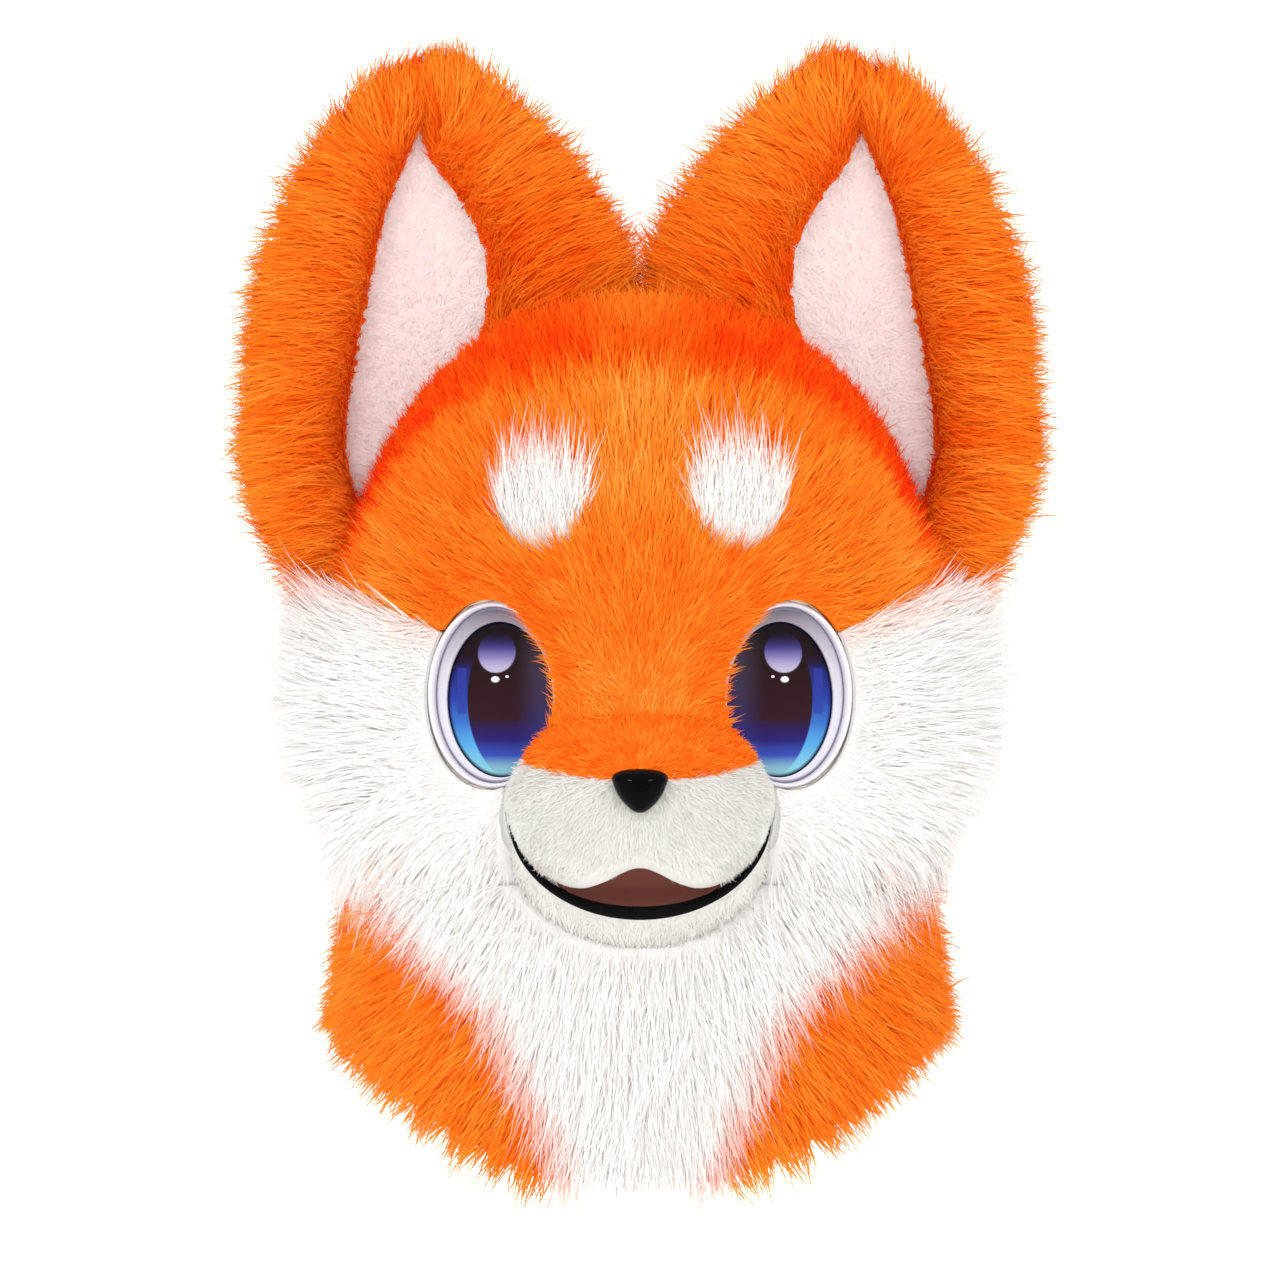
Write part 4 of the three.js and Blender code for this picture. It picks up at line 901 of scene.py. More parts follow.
RIM_LAP, JAW_LAP_SHARE, JAW_MEAN_SIZE = 1.2, 0.9, 55
for name, side in (("left", -1), ("right", 1)):
    cheek = np.minimum.reduce(
        [
            -over_seam,
            CHEEK_BACK_Y - y_axis,
            -on_muzzle,
            eye_gap,
            side * x_axis,
            z_axis - RIM_Z + RIM_LAP,
            (jaw_share(skin_points) - JAW_LAP_SHARE) * JAW_MEAN_SIZE,
        ]
    )
    rows, triangles = clipped(skin_rows, skin_triangles, cheek)
    points = rows[:, :3]
    longer = 11.0 * smoothstep(-198, -222, rows[:, 2])
    hang = np.outer(-1.5 * smoothstep(-190, -220, rows[:, 2]), [0, 0, 1])
    cheek_coat = furred(
        "cheek_coat_" + name,
        rows,
        triangles,
        pile=(pile_length(points) * near_eye(points) + longer) * jaw_cut(points),
        cover=clear_of_jaw(points),
        raised=0.55 - 0.2 * smoothstep(-203, -224, rows[:, 2]),
        flow=along_skin(flow_away(rows) + hang, rows[:, 3:6]),
        tone=0.8 - 0.45 * smoothstep(26, 0, -above_seam(points)) - 0.4 * over_neck(points),
        Density=780000.0,
        Width=0.0007,
        Rise=0.3,
        Sweep=0.95,
        Stray=0.16,
        Wave=0.45,
        Seed=31 + side,
        Coat=white_fur,
        **{"Points along": 4, "Clump share": 0.012},
    )
    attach(cheek_coat, "root")
    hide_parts("cheek_fur_" + name)

# Orange crown and back of the head.
# One panel from behind the forehead, between and behind the ears, down to the shell's rim.
crown = np.maximum(
    np.minimum(over_seam, -in_front),
    np.minimum(-over_seam, y_axis - CHEEK_BACK_Y),
)
crown = np.minimum(crown, z_axis - RIM_Z - 0.1)
rows, triangles = clipped(skin_rows, skin_triangles, crown)
ear_gap = clear_of_ears(rows[:, :3])
crown_back = furred(
    "crown_back_coat",
    rows,
    triangles,
    pile=pile_length(rows[:, :3]) * (0.4 + 0.6 * smoothstep(2, 26, ear_gap)),
    flow=flow_away(rows),
    # Darker towards the front, behind the forehead and between the ears: partly painted shade in that crease,
    # partly the fur's own deeper colour.
    tone=0.42 + 0.1 * smoothstep(20, 80, rows[:, 1]),
    cover=smoothstep(-3, 2, ear_gap),
    Density=198000.0,
    Width=0.0015,
    Rise=0.4,
    Sweep=0.95,
    Seed=41,
    Coat=orange_fur,
)
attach(crown_back, "root")
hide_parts("crown_back_fur")

# Muzzle, orange above the colour seam and white below it.
# Short pile glued on a hollow foam shell, brushed back from the nose, trimmed at the mouth.
# The short white fur is greyer than the long white fur: partly the velvet pile's own look, partly painted
# shade.
SHORT_WHITE_STOPS = [
    (0.0, (208, 200, 194)),
    (0.4, (228, 228, 223)),
    (0.7, (240, 239, 235)),
    (1.0, (252, 250, 247)),
]
short_white_fur = fur_material("fur_white_short", SHORT_WHITE_STOPS, (246, 245, 243))
LIP_HALF_WIDTH, LIP_CORNER_Z, LIP_SAG = 55.5, -197.0, 40.0
ROOT_SIZES, ROOT_CENTRE = np.array([29.0, 15.0, 12.0]), np.array([0.0, -117.0, -183.0])


def ball(sizes, centre, columns, rows_down):
    """A closed ellipsoid's points and quads."""
    azimuth = np.arange(columns) * 2 * np.pi / columns
    polar = np.linspace(0, np.pi, rows_down)
    points = direction(*np.meshgrid(azimuth, polar)).reshape(-1, 3) * sizes + centre
    return points, loft_faces(rows_down, columns)


def lip_gap(points):
    """Distance of points from the mouth's line in the front view."""
    angle = np.arctan2(points[:, 0] / LIP_HALF_WIDTH, (LIP_CORNER_Z - points[:, 2]) / LIP_SAG)
    angle = np.clip(angle, -np.pi / 2, np.pi / 2)
    x, z = LIP_HALF_WIDTH * np.sin(angle), LIP_CORNER_Z - LIP_SAG * np.cos(angle)
    return np.hypot(points[:, 0] - x, points[:, 2] - z)


root_rows, root_triangles = surface(*ball(ROOT_SIZES, ROOT_CENTRE, 64, 32))
root_over = above_seam(root_rows[:, :3])
for name, part, tone, coat, seed in (
    ("muzzle_top", over_seam, 0.55, orange_fur, 51),
    ("muzzle", -over_seam, 0.62, short_white_fur, 52),
):
    values = np.minimum.reduce([part, on_muzzle, eye_gap + nose_lap])
    rows, triangles = clipped(skin_rows, skin_triangles, values)
    side_over = root_over if name == "muzzle_top" else -root_over
    more_rows, more_triangles = clipped(root_rows, root_triangles, side_over)
    in_sight = np.arange(len(rows) + len(more_rows)) < len(rows)
    triangles = np.vstack([triangles, more_triangles + len(rows)])
    rows = np.vstack([rows, more_rows])
    to_lip = lip_gap(rows[:, :3])
    near_lip = smoothstep(1.0, 9.0, to_lip)
    # Painted shade: darker on the muzzle's underside close to the mouth.
    underside_shade = smoothstep(-0.25, -0.7, rows[:, 5])
    muzzle_coat = furred(
        name + "_coat",
        rows,
        triangles,
        pile=5.0 * (0.35 + 0.65 * near_lip) * near_eye(rows[:, :3]),
        flow=flow_away(rows),
        tone=tone - 0.45 * underside_shade * smoothstep(14.0, 5.0, to_lip),
        cover=smoothstep(-0.85, -0.6, rows[:, 5]) * in_sight,
        Density=980000.0,
        Width=0.0006,
        Rise=0.35,
        Sweep=0.8,
        Stray=0.35,
        Seed=seed,
        Coat=coat,
        **{"Clump share": 0.03},
    )
    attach(muzzle_coat, "root")
    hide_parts(name + "_fur")

# Jaw below the mouth.
# A ball of foam under short white fur, with the open mouth scooped out of it.
JAW_INSET = 3.5
MOUTH_SIZES, MOUTH_Z, MOUTH_MEAN_SIZE = np.array([40.0, 32.0, 13.0]), -224.0, 15
JAW_SUNK = 5


def jaw_front_y(x, z):
    share = 1 - (x / JAW_SIZES[0]) ** 2 - ((z - JAW_CENTRE[2]) / JAW_SIZES[2]) ** 2
    return JAW_CENTRE[1] - JAW_SIZES[1] * np.sqrt(np.maximum(0, share))


MOUTH_CENTRE = np.array([0.0, jaw_front_y(0.0, MOUTH_Z), MOUTH_Z])


def below_lip(points):
    """Zero over the mouth's line, where hairs would cross the open mouth."""
    share = np.clip(np.abs(points[:, 0]) / LIP_HALF_WIDTH, 0, 1)
    return smoothstep(1.0, -1.0, points[:, 2] - LIP_CORNER_Z + LIP_SAG * np.sqrt(1 - share**2))


jaw_rows, jaw_triangles = surface(*ball(JAW_SIZES - JAW_INSET, JAW_CENTRE, 96, 64))
mouth_q = np.linalg.norm((jaw_rows[:, :3] - MOUTH_CENTRE) / MOUTH_SIZES, axis=1)
outside_skin = depth_outside(jaw_rows[:, :3], skin_bvh)
open_jaw = np.minimum((mouth_q - 1) * MOUTH_MEAN_SIZE, outside_skin + JAW_SUNK)
rows, triangles = clipped(jaw_rows, jaw_triangles, open_jaw)
to_lip = lip_gap(rows[:, :3])
near_lip = smoothstep(1.0, 9.0, to_lip)
jaw_coat = furred(
    "jaw_coat",
    rows,
    triangles,
    pile=(5.0 + 9.0 * smoothstep(8, 20, to_lip)) * (0.35 + 0.65 * near_lip),
    raised=0.2,
    flow=along_skin(np.array([0.0, 0.3, -1.0]) + 0.5 * flow_away(rows), rows[:, 3:6]),
    tone=0.8,
    cover=smoothstep(-3, 0, depth_outside(rows[:, :3], skin_bvh)) * below_lip(rows[:, :3]),
    Density=1100000.0,
    Width=0.0006,
    Rise=0.35,
    Sweep=0.9,
    Stray=0.35,
    Seed=61,
    Coat=short_white_fur,
)
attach(jaw_coat, "root")
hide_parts("jaw_fur")

# Lining of the open mouth.
# Brown-pink cloth glued into the scoop of the jaw.
MOUTH_COLOUR = (160, 100, 88)
CLOTH_THICKNESS, CLOTH_LAP, CLOTH_GAP = 1.5, 1.0, 0.3
mouth_material, mouth_shader = new_material("mouth_cloth", Roughness=0.9, Specular_IOR_Level=0.2)
mouth_shader.inputs["Base Color"].default_value = linear(*MOUTH_COLOUR)
points, quads = ball(MOUTH_SIZES - CLOTH_GAP, MOUTH_CENTRE, 64, 32)
lining_rows, lining_triangles = surface(points, quads)
inside_jaw = 1 - np.linalg.norm((lining_rows[:, :3] - JAW_CENTRE) / (JAW_SIZES - JAW_INSET), axis=1)
rows, triangles = clipped(lining_rows, lining_triangles, inside_jaw * JAW_MEAN_SIZE + CLOTH_LAP)
count = len(rows)
inner = rows[:, :3] - rows[:, 3:6] * CLOTH_THICKNESS
mouth_lining = mesh_object(
    "mouth_cloth",
    np.concatenate([rows[:, :3], inner]),
    np.concatenate([triangles, triangles[:, ::-1] + count]),
)
mouth_lining.data.materials.append(mouth_material)
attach(mouth_lining, "root")
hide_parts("mouth_lining")

# Black lip along the jaw.
# A strip of black fleece in a smile, thick in the middle and thin at its corners.
LIP_THICK, LIP_THIN, LIP_DEPTH = 2.9, 0.75, 3.0
LIP_STATIONS, LIP_CORNERS = 96, 16
lip_material, lip_shader = new_material("lip_fleece", Roughness=0.9, Specular_IOR_Level=0.1)
lip_shader.inputs["Base Color"].default_value = linear(6, 5, 6)
swing = np.radians(86) * np.linspace(-1, 1, LIP_STATIONS)
lip_x, lip_z = LIP_HALF_WIDTH * np.sin(swing), LIP_CORNER_Z - LIP_SAG * np.cos(swing)


def front_hit(x, z):
    """Depth of the first skin or jaw met from the front."""
    hit = skin_bvh.ray_cast(Vector((x, -400, z)), Vector((0, 1, 0)))[0]
    return min(jaw_front_y(x, z) + JAW_INSET * 0.6, hit.y if hit else 0.0)


lip_y = np.array([front_hit(x, z) for x, z in zip(lip_x, lip_z)])
rings = []
for angle, x, y, z in zip(swing, lip_x, lip_y, lip_z):
    thick = LIP_THIN + (LIP_THICK - LIP_THIN) * np.cos(angle) ** 2.2
    turn = np.arange(LIP_CORNERS) * 2 * np.pi / LIP_CORNERS
    ring = np.array([x, y, z]) + np.outer(np.cos(turn) * thick, [np.sin(angle), 0, -np.cos(angle)])
    ring[:, 1] += LIP_DEPTH * np.sin(turn)
    rings.append(ring)
rings = [np.tile(rings[0].mean(0), (LIP_CORNERS, 1))] + rings + [np.tile(rings[-1].mean(0), (LIP_CORNERS, 1))]
lower_lip = mesh_object("lip_strip", np.concatenate(rings), loft_faces(len(rings), LIP_CORNERS))
lower_lip.data.materials.append(lip_material)
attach(lower_lip, "root")
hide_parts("lower_lip")

# Nose.
# A glossy black moulding, a rounded triangle that is wide at the top, set into the muzzle.
NOSE_HALF_WIDTH, NOSE_HEIGHT, NOSE_Z, NOSE_PROUD, NOSE_SEAT = 13.8, 18.5, -182.2, 9.0, 8.0
NOSE_RISE_SHARE, NOSE_FALL_SHARE, NOSE_SQUARENESS, NOSE_COLUMNS = 0.4, 0.62, 2.3, 72
nose_material, nose_shader = new_material("nose_gloss", Roughness=0.05, Specular_IOR_Level=0.05)
nose_shader.inputs["Base Color"].default_value = linear(1, 1, 1)
rings = []
angle = np.arange(NOSE_COLUMNS) * 2 * np.pi / NOSE_COLUMNS
taper = 1.1 - 0.66 * ((1 - np.cos(angle)) / 2) ** 1.15
for forward in np.concatenate([[-1.0, -0.5, 0.0], 1 - np.linspace(1, 0, 22)[1:] ** 2]):
    bulge = max(0.0, forward)
    size = np.sqrt(max(0.0, 1 - bulge**2.6)) if forward > 0 else 0.97 + 0.03 * forward
    half = NOSE_HALF_WIDTH * size * taper
    above, below = NOSE_HEIGHT * NOSE_RISE_SHARE * size, NOSE_HEIGHT * NOSE_FALL_SHARE * size
    x, z = super_ellipse(angle, half, above, below, NOSE_SQUARENESS)
    depth = forward * NOSE_PROUD if forward > 0 else forward * NOSE_SEAT
    rings.append(np.stack([x, np.full_like(x, -MUZZLE_ROOT - MUZZLE_REACH - depth), NOSE_Z + z], 1))
rings = [np.tile(rings[0].mean(0), (NOSE_COLUMNS, 1))] + rings
nose = mesh_object("nose_moulding", np.concatenate(rings), loft_faces(len(rings), NOSE_COLUMNS))
nose.data.materials.append(nose_material)
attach(nose, "root")
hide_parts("nose")

# Eyes: a pale rim, the white of the eye and the iris on each side.
# The white and the iris are a printed mesh that is domed forwards, the iris set behind the white.
RIM_WALL, RIM_DEPTH, PLATE_GAP, PLATE, DOME = 2.5, 16.0, 0.3, 1.5, 4.0
IRIS_HALF_WIDTH, IRIS_HALF_HEIGHT, IRIS_TO_NOSE, IRIS_LOWER, IRIS_OVERLAP = 25.0, 33.5, 2.2, 2.0, 0.6
PLATE_HALF_WIDTH = EYE_HALF_WIDTH - RIM_WALL - PLATE_GAP
PLATE_HALF_HEIGHT = EYE_HALF_HEIGHT - RIM_WALL - PLATE_GAP
EYE_COLUMNS = 96
rim_material, rim_shader = new_material("eye_rim", Roughness=0.35, Specular_IOR_Level=0.4)
rim_shader.inputs["Base Color"].default_value = linear(226, 224, 232)
MESH_PITCH = 1.25


def printed(name):
    """A printed eye material, its shader, and the print's place in millimetres from the eye's middle."""
    material, shader = new_material(name, Roughness=0.5, Specular_IOR_Level=0.06)
    tree = material.node_tree
    place = add(tree, "ShaderNodeSeparateXYZ", {0: attribute(tree, "print").outputs["Vector"]}).outputs
    return material, shader, tree, place[0], place[1]


def step_between(tree, low, high, value):
    node = add(
        tree,
        "ShaderNodeMapRange",
        {"Value": value, "From Min": low, "From Max": high},
        interpolation_type="SMOOTHSTEP",
    )
    return node.outputs[0]


def oval_distance(tree, u, v, centre, sizes):
    """Distance from a centre, as a share of the oval's half sizes."""
    across = math(tree, "DIVIDE", math(tree, "SUBTRACT", u, centre[0]), sizes[0])
    up = math(tree, "DIVIDE", math(tree, "SUBTRACT", v, centre[1]), sizes[1])
    squares = math(tree, "ADD", math(tree, "MULTIPLY", across, across), math(tree, "MULTIPLY", up, up))
    return math(tree, "SQRT", squares)


def mesh_dots(tree, u, v, colour, dark, strength):
    """Darkens a colour in the small holes of the printed mesh."""
    waves = [math(tree, "SINE", math(tree, "MULTIPLY", w, 2 * np.pi / MESH_PITCH)) for w in (u, v)]
    hole = step_between(tree, 0.35, 0.95, math(tree, "MULTIPLY", waves[0], waves[1]))
    return mixed(tree, math(tree, "MULTIPLY", hole, strength), colour, linear(*dark))


white_material, shader, tree, u, v = printed("eye_white")
height = math(tree, "DIVIDE", math(tree, "ADD", v, PLATE_HALF_HEIGHT), 2 * PLATE_HALF_HEIGHT)
# Darker towards the top: partly the print's own shading, partly painted shade under the fur of the lid.
colour = ramp(
    tree,
    height,
    [
        (0.0, (220, 217, 228)),
        (0.35, (211, 208, 218)),
        (0.65, (196, 193, 202)),
        (0.85, (160, 156, 166)),
        (1.0, (108, 103, 113)),
    ],
)
edge = oval_distance(tree, u, v, (0.0, 0.0), (PLATE_HALF_WIDTH, PLATE_HALF_HEIGHT))
colour = mixed(tree, step_between(tree, 0.96, 0.985, edge), colour, linear(150, 144, 168))
tree.links.new(mesh_dots(tree, u, v, colour, (120, 112, 140), 0.35), shader.inputs["Base Color"])

iris_material, shader, tree, u, v = printed("eye_iris")
a = math(tree, "DIVIDE", math(tree, "SUBTRACT", u, IRIS_TO_NOSE), IRIS_HALF_WIDTH)
b = math(tree, "DIVIDE", math(tree, "ADD", v, IRIS_LOWER), IRIS_HALF_HEIGHT)
height = math(tree, "ADD", math(tree, "MULTIPLY", b, 0.5), 0.5)
body = ramp(
    tree,
    height,
    [
        (0.0, (140, 196, 206)),
        (0.07, (120, 168, 190)),
        (0.14, (52, 74, 168)),
        (0.24, (38, 30, 104)),
        (0.38, (44, 19, 28)),
        (0.6, (38, 17, 21)),
        (1.0, (18, 13, 16)),
    ],
)
nose_side = step_between(tree, 0.25, 0.95, a)
glow = ramp(
    tree,
    height,
    [
        (0.0, (120, 180, 205)),
        (0.25, (50, 54, 136)),
        (0.5, (62, 54, 92)),
        (1.0, (86, 76, 82)),
    ],
)
body = mixed(tree, math(tree, "MULTIPLY", nose_side, 0.75), body, glow)
strip_colour = ramp(
    tree,
    height,
    [
        (0.05, (132, 196, 212)),
        (0.2, (84, 158, 208)),
        (0.35, (54, 104, 182)),
        (0.5, (38, 58, 146)),
        (0.75, (26, 26, 76)),
    ],
)
strip = step_between(tree, 0.985, 1.02, oval_distance(tree, a, b, (0.3, 0.0), (0.9, 1.05)))
strip = math(tree, "MULTIPLY", strip, math(tree, "LESS_THAN", a, 0.2))
strip = math(tree, "MULTIPLY", strip, step_between(tree, 0.62, 0.3, b))
body = mixed(tree, strip, body, strip_colour)
# Painted reflection: two window-shaped panes at the outer side of the iris.
for low, high in ((0.02, 0.42), (-0.2, -0.02)):
    over, under = step_between(tree, low, low + 0.03, b), step_between(tree, high, high - 0.03, b)
    window_reflection = math(tree, "MULTIPLY", over, under)
    sides = math(tree, "MULTIPLY", step_between(tree, -0.82, -0.8, a), step_between(tree, -0.61, -0.63, a))
    window_reflection = math(tree, "MULTIPLY", math(tree, "MULTIPLY", window_reflection, sides), 0.7)
    body = mixed(tree, window_reflection, body, linear(46, 54, 146))
rim_line = oval_distance(tree, a, b, (0.0, 0.0), (1.0, 1.0))
body = mixed(tree, step_between(tree, 0.93, 1.0, rim_line), body, linear(26, 18, 44))
shine = oval_distance(tree, u, v, (IRIS_TO_NOSE - 1.3, 18.4), (9.0, 9.0))
shine_mask = math(tree, "MULTIPLY", step_between(tree, 1.03, 0.93, shine), step_between(tree, 29.0, 16.0, v))
shine_colour = ramp(
    tree,
    step_between(tree, 9.0, 27.0, v),
    [(0.0, (176, 168, 196)), (0.35, (120, 112, 162)), (0.7, (70, 64, 134)), (1.0, (38, 32, 86))],
)
body = mixed(tree, shine_mask, body, shine_colour)
for centre, sizes in (((IRIS_TO_NOSE - 1.5, 6.7), (1.9, 1.3)), ((IRIS_TO_NOSE + 4.0, 7.9), (0.8, 0.5))):
    dot = oval_distance(tree, u, v, centre, sizes)
    body = mixed(tree, step_between(tree, 1.15, 0.85, dot), body, linear(236, 232, 246))
tree.links.new(mesh_dots(tree, u, v, body, (12, 8, 16), 0.28), shader.inputs["Base Color"])


def plate_y(x, z):
    share = 1 - (x / PLATE_HALF_WIDTH) ** 2 - (z / PLATE_HALF_HEIGHT) ** 2
    return -DOME * np.maximum(0, share)


def eye_rings(side, shapes):
    """Rings in an eye's own frame, put in place. A shape is half sizes, centre and depth."""
    centre, across, inward = eye_axes(side)
    turn = np.arange(EYE_COLUMNS) * 2 * np.pi / EYE_COLUMNS
    placed, printed_at = [], []
    for half_width, half_height, middle, depth in shapes:
        x, z = middle[0] + half_width * np.sin(turn), middle[1] + half_height * np.cos(turn)
        y = depth if np.isscalar(depth) else plate_y(x, z) + depth[0]
        y = np.broadcast_to(y, x.shape)
        placed.append(centre + np.outer(x, across) + np.outer(y, inward) + np.outer(z, [0, 0, 1]))
        printed_at.append(np.stack([-side * x, z, 0 * z], 1))
    return np.concatenate(placed), np.concatenate(printed_at)


for name, side in (("left", -1), ("right", 1)):
    none = (0.0, 0.0)
    profile = [(0.0, RIM_DEPTH - EYE_RIM_PROUD), (0.0, -EYE_RIM_PROUD * 0.5)]
    for bend in np.linspace(0, np.pi, 9):
        inset = RIM_WALL * (1 - np.cos(bend)) / 2
        profile.append((inset, -EYE_RIM_PROUD * (0.5 + 0.5 * np.sin(bend))))
    profile.append((RIM_WALL, RIM_DEPTH - EYE_RIM_PROUD))
    shapes = [(EYE_HALF_WIDTH - inset, EYE_HALF_HEIGHT - inset, none, y) for inset, y in profile]
    points, _ = eye_rings(side, shapes)
    rim = mesh_object("eye_surround_" + name, points, loft_faces(len(shapes), EYE_COLUMNS, hoop=True))
    rim.data.materials.append(rim_material)
    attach(rim, "root")
    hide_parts("eye_rim_" + name)

    iris_at = np.array([-side * IRIS_TO_NOSE, -IRIS_LOWER])
    shapes = []
    for depth in (0.0, PLATE):
        for t in np.linspace(0, 1, 7) if depth == 0 else np.linspace(1, 0, 7):
            half_width = PLATE_HALF_WIDTH + (IRIS_HALF_WIDTH - PLATE_HALF_WIDTH) * t
            half_height = PLATE_HALF_HEIGHT + (IRIS_HALF_HEIGHT - PLATE_HALF_HEIGHT) * t
            shapes.append((half_width, half_height, iris_at * t, (depth,)))
    points, places = eye_rings(side, shapes)
    quads = loft_faces(len(shapes), EYE_COLUMNS, hoop=True)
    white = mesh_object("eye_plate_" + name, points, quads, {"print": ("POINT", "FLOAT_VECTOR", places)})
    outward(white.data)
    white.data.materials.append(white_material)
    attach(white, "root")
    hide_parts("eye_white_" + name)

    half = min(IRIS_HALF_WIDTH + IRIS_OVERLAP, PLATE_HALF_WIDTH - IRIS_TO_NOSE)
    front = PLATE + PLATE_GAP
    shapes = []
    for depth, shares in ((front, np.linspace(0, 1, 16)), (front + PLATE, np.linspace(1, 0, 16))):
        shapes += [(half * t, (IRIS_HALF_HEIGHT + IRIS_OVERLAP) * t, iris_at, (depth,)) for t in shares]
    points, places = eye_rings(side, shapes)
    quads = loft_faces(len(shapes), EYE_COLUMNS)
    iris = mesh_object("eye_print_" + name, points, quads, {"print": ("POINT", "FLOAT_VECTOR", places)})
    outward(iris.data)
    iris.data.materials.append(iris_material)
    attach(iris, "root")
    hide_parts("eye_iris_" + name)

# Ears, one on each side, with a pink lining in each.
# Thick orange fur wraps the foam blade front and back, and pale pink plush fills the recess.
EAR_PILE, LINING_PILE = 16.5, 3.5
LINING_FIRST, LINING_LAST = 8, 22
PLUSH_WIDTH, PLUSH_LAP, EAR_SUNK = 40, 1.0, 10
PLUSH_STOPS = [(0.0, (254, 238, 235)), (0.4, (255, 245, 243)), (0.7, (255, 250, 249)), (1.0, (255, 253, 252))]
plush = fur_material("ear_plush", PLUSH_STOPS, (255, 251, 250))
station_lining = np.array([lining for _, lining in ear_rings])
core = ear_points.reshape(-1, 3)
core_lining = station_lining.reshape(-1)
core_share = np.repeat(np.linspace(0, 1, EAR_STATIONS), ear_count)


def ear_local(points):
    """Where points of an ear lie on its sections: share of height, and depth into the lining."""
    nearest = [np.argmin(((core - p) ** 2).sum(1)) for p in points]
    return core_share[nearest], core_lining[nearest]


share, lining = ear_local(ear_rows[:, :3])
border = np.concatenate([[ring[LINING_FIRST], ring[LINING_LAST]] for ring, _ in ear_rings])
edge_gap = np.array([np.sqrt(((border - p) ** 2).sum(1).min()) for p in ear_rows[:, :3]])
middle_line = np.array([(ring[LINING_FIRST] + ring[LINING_LAST]) / 2 for ring, _ in ear_rings])
ear_middle = middle_line[np.round(share * (EAR_STATIONS - 1)).astype(int)]
from_middle = ear_rows[:, :3] - ear_middle
from_middle[:, 1] *= 0.3
from_middle[:, 2] += 12.0 + 90.0 * smoothstep(0.66, 0.9, share)
head_on = np.abs((from_middle * ear_rows[:, 3:6]).sum(1)) / np.linalg.norm(from_middle, axis=1)
from_middle += 30.0 * smoothstep(0.75, 0.97, head_on)[:, None] * np.array([0.0, 0.3, 1.0])
ear_flow = along_skin(from_middle, ear_rows[:, 3:6])
ear_outside = depth_outside(ear_rows[:, :3], skin_bvh)
plush_depth = np.where((lining > 0) & (share > 0.05) & (share < 0.8), lining, -1.0)
ear_table = np.hstack([ear_rows, ear_flow, share[:, None], ear_outside[:, None], edge_gap[:, None]])
plush_gap = np.where(plush_depth > 0, plush_depth * PLUSH_WIDTH - PLUSH_LAP, -PLUSH_LAP)
for name, side in (("left", -1), ("right", 1)):
    for part, values in (("ear_coat_", -plush_gap), ("ear_plush_", plush_gap)):
        rows, triangles = clipped(ear_table, ear_triangles, np.minimum(values, ear_outside + EAR_SUNK))
        if side < 0:
            rows = rows * np.array([-1, 1, 1, -1, 1, 1, -1, 1, 1, 1, 1, 1])
            triangles = triangles[:, ::-1]
        flow, height, outside, gap = rows[:, 6:9], rows[:, 9], rows[:, 10], rows[:, 11]
        if part == "ear_coat_":
            out = np.abs(rows[:, 0])
            inner_colour_and_shade = smoothstep(84, 52, out) * smoothstep(85, 40, rows[:, 2])
            rolled = 0.3 + 0.7 * smoothstep(0, 16, gap)
            piece = furred(
                part + name,
                rows,
                triangles,
                pile=EAR_PILE * rolled * (1.0 - 0.2 * smoothstep(150, 172, out)),
                flow=flow,
                # Redder on the inner low side: partly the fur's own colour, partly painted shade between the
                # ears. Darker next to the lining: painted shade where the fur rolls into the recess. Lighter
                # in the middle where the ears meet: painted light against the shade between them.
                tone=0.58 - 0.12 * inner_colour_and_shade - 0.2 * smoothstep(9, 0, gap) + 0.2 * smoothstep(34, 4, out),
                raised=0.36,
                cover=smoothstep(-2, 4, outside),
                Density=565000.0,
                Width=0.0008,
                Rise=0.42,
                Sweep=1.15,
                Stray=0.25,
                Wave=0.6,
                Seed=71 + side,
                Coat=orange_fur,
            )
            node, finish = "ear_fur_" + name, "fur_orange"
        else:
            piece = furred(
                part + name,
                rows,
                triangles,
                pile=LINING_PILE,
                flow=flow,
                tone=0.6,
                cover=smoothstep(-1, 2, outside),
                Density=900000.0,
                Width=0.0006,
                Rise=0.5,
                Sweep=0.8,
                Stray=0.5,
                Seed=75 + side,
                Coat=plush,
            )
            node, finish = "ear_lining_" + name, "ear_plush"
        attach(piece, "root")
        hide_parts(node)

# Neck: a white bib in front, an orange panel at each side and one behind.
# A hanging tube of faux fur sewn to the shell's rim, with no foam in it.
NECK_HALF_WIDTH, NECK_FRONT, NECK_BACK = 124.0, 112.0, 108.0
NECK_SIDE_Z, NECK_FRONT_FALL, NECK_BACK_FALL, NECK_FLARE = -290.0, 66.0, 46.0, 0.6
NECK_COLUMNS, NECK_ROWS, NECK_PILE, NECK_START = 216, 44, 16.0, RIM_Z - 0.3


def rim_outline(azimuth):
    """The shell's outline at the height of its rim."""
    low, high = np.zeros_like(azimuth), np.full_like(azimuth, np.pi * 0.95)
    for _ in range(HALVINGS):
        middle = (low + high) / 2
        above = head_point(azimuth, middle, 0.0)[..., 2] > RIM_Z
        low, high = np.where(above, middle, low), np.where(above, high, middle)
    return head_point(azimuth, high, 0.0)


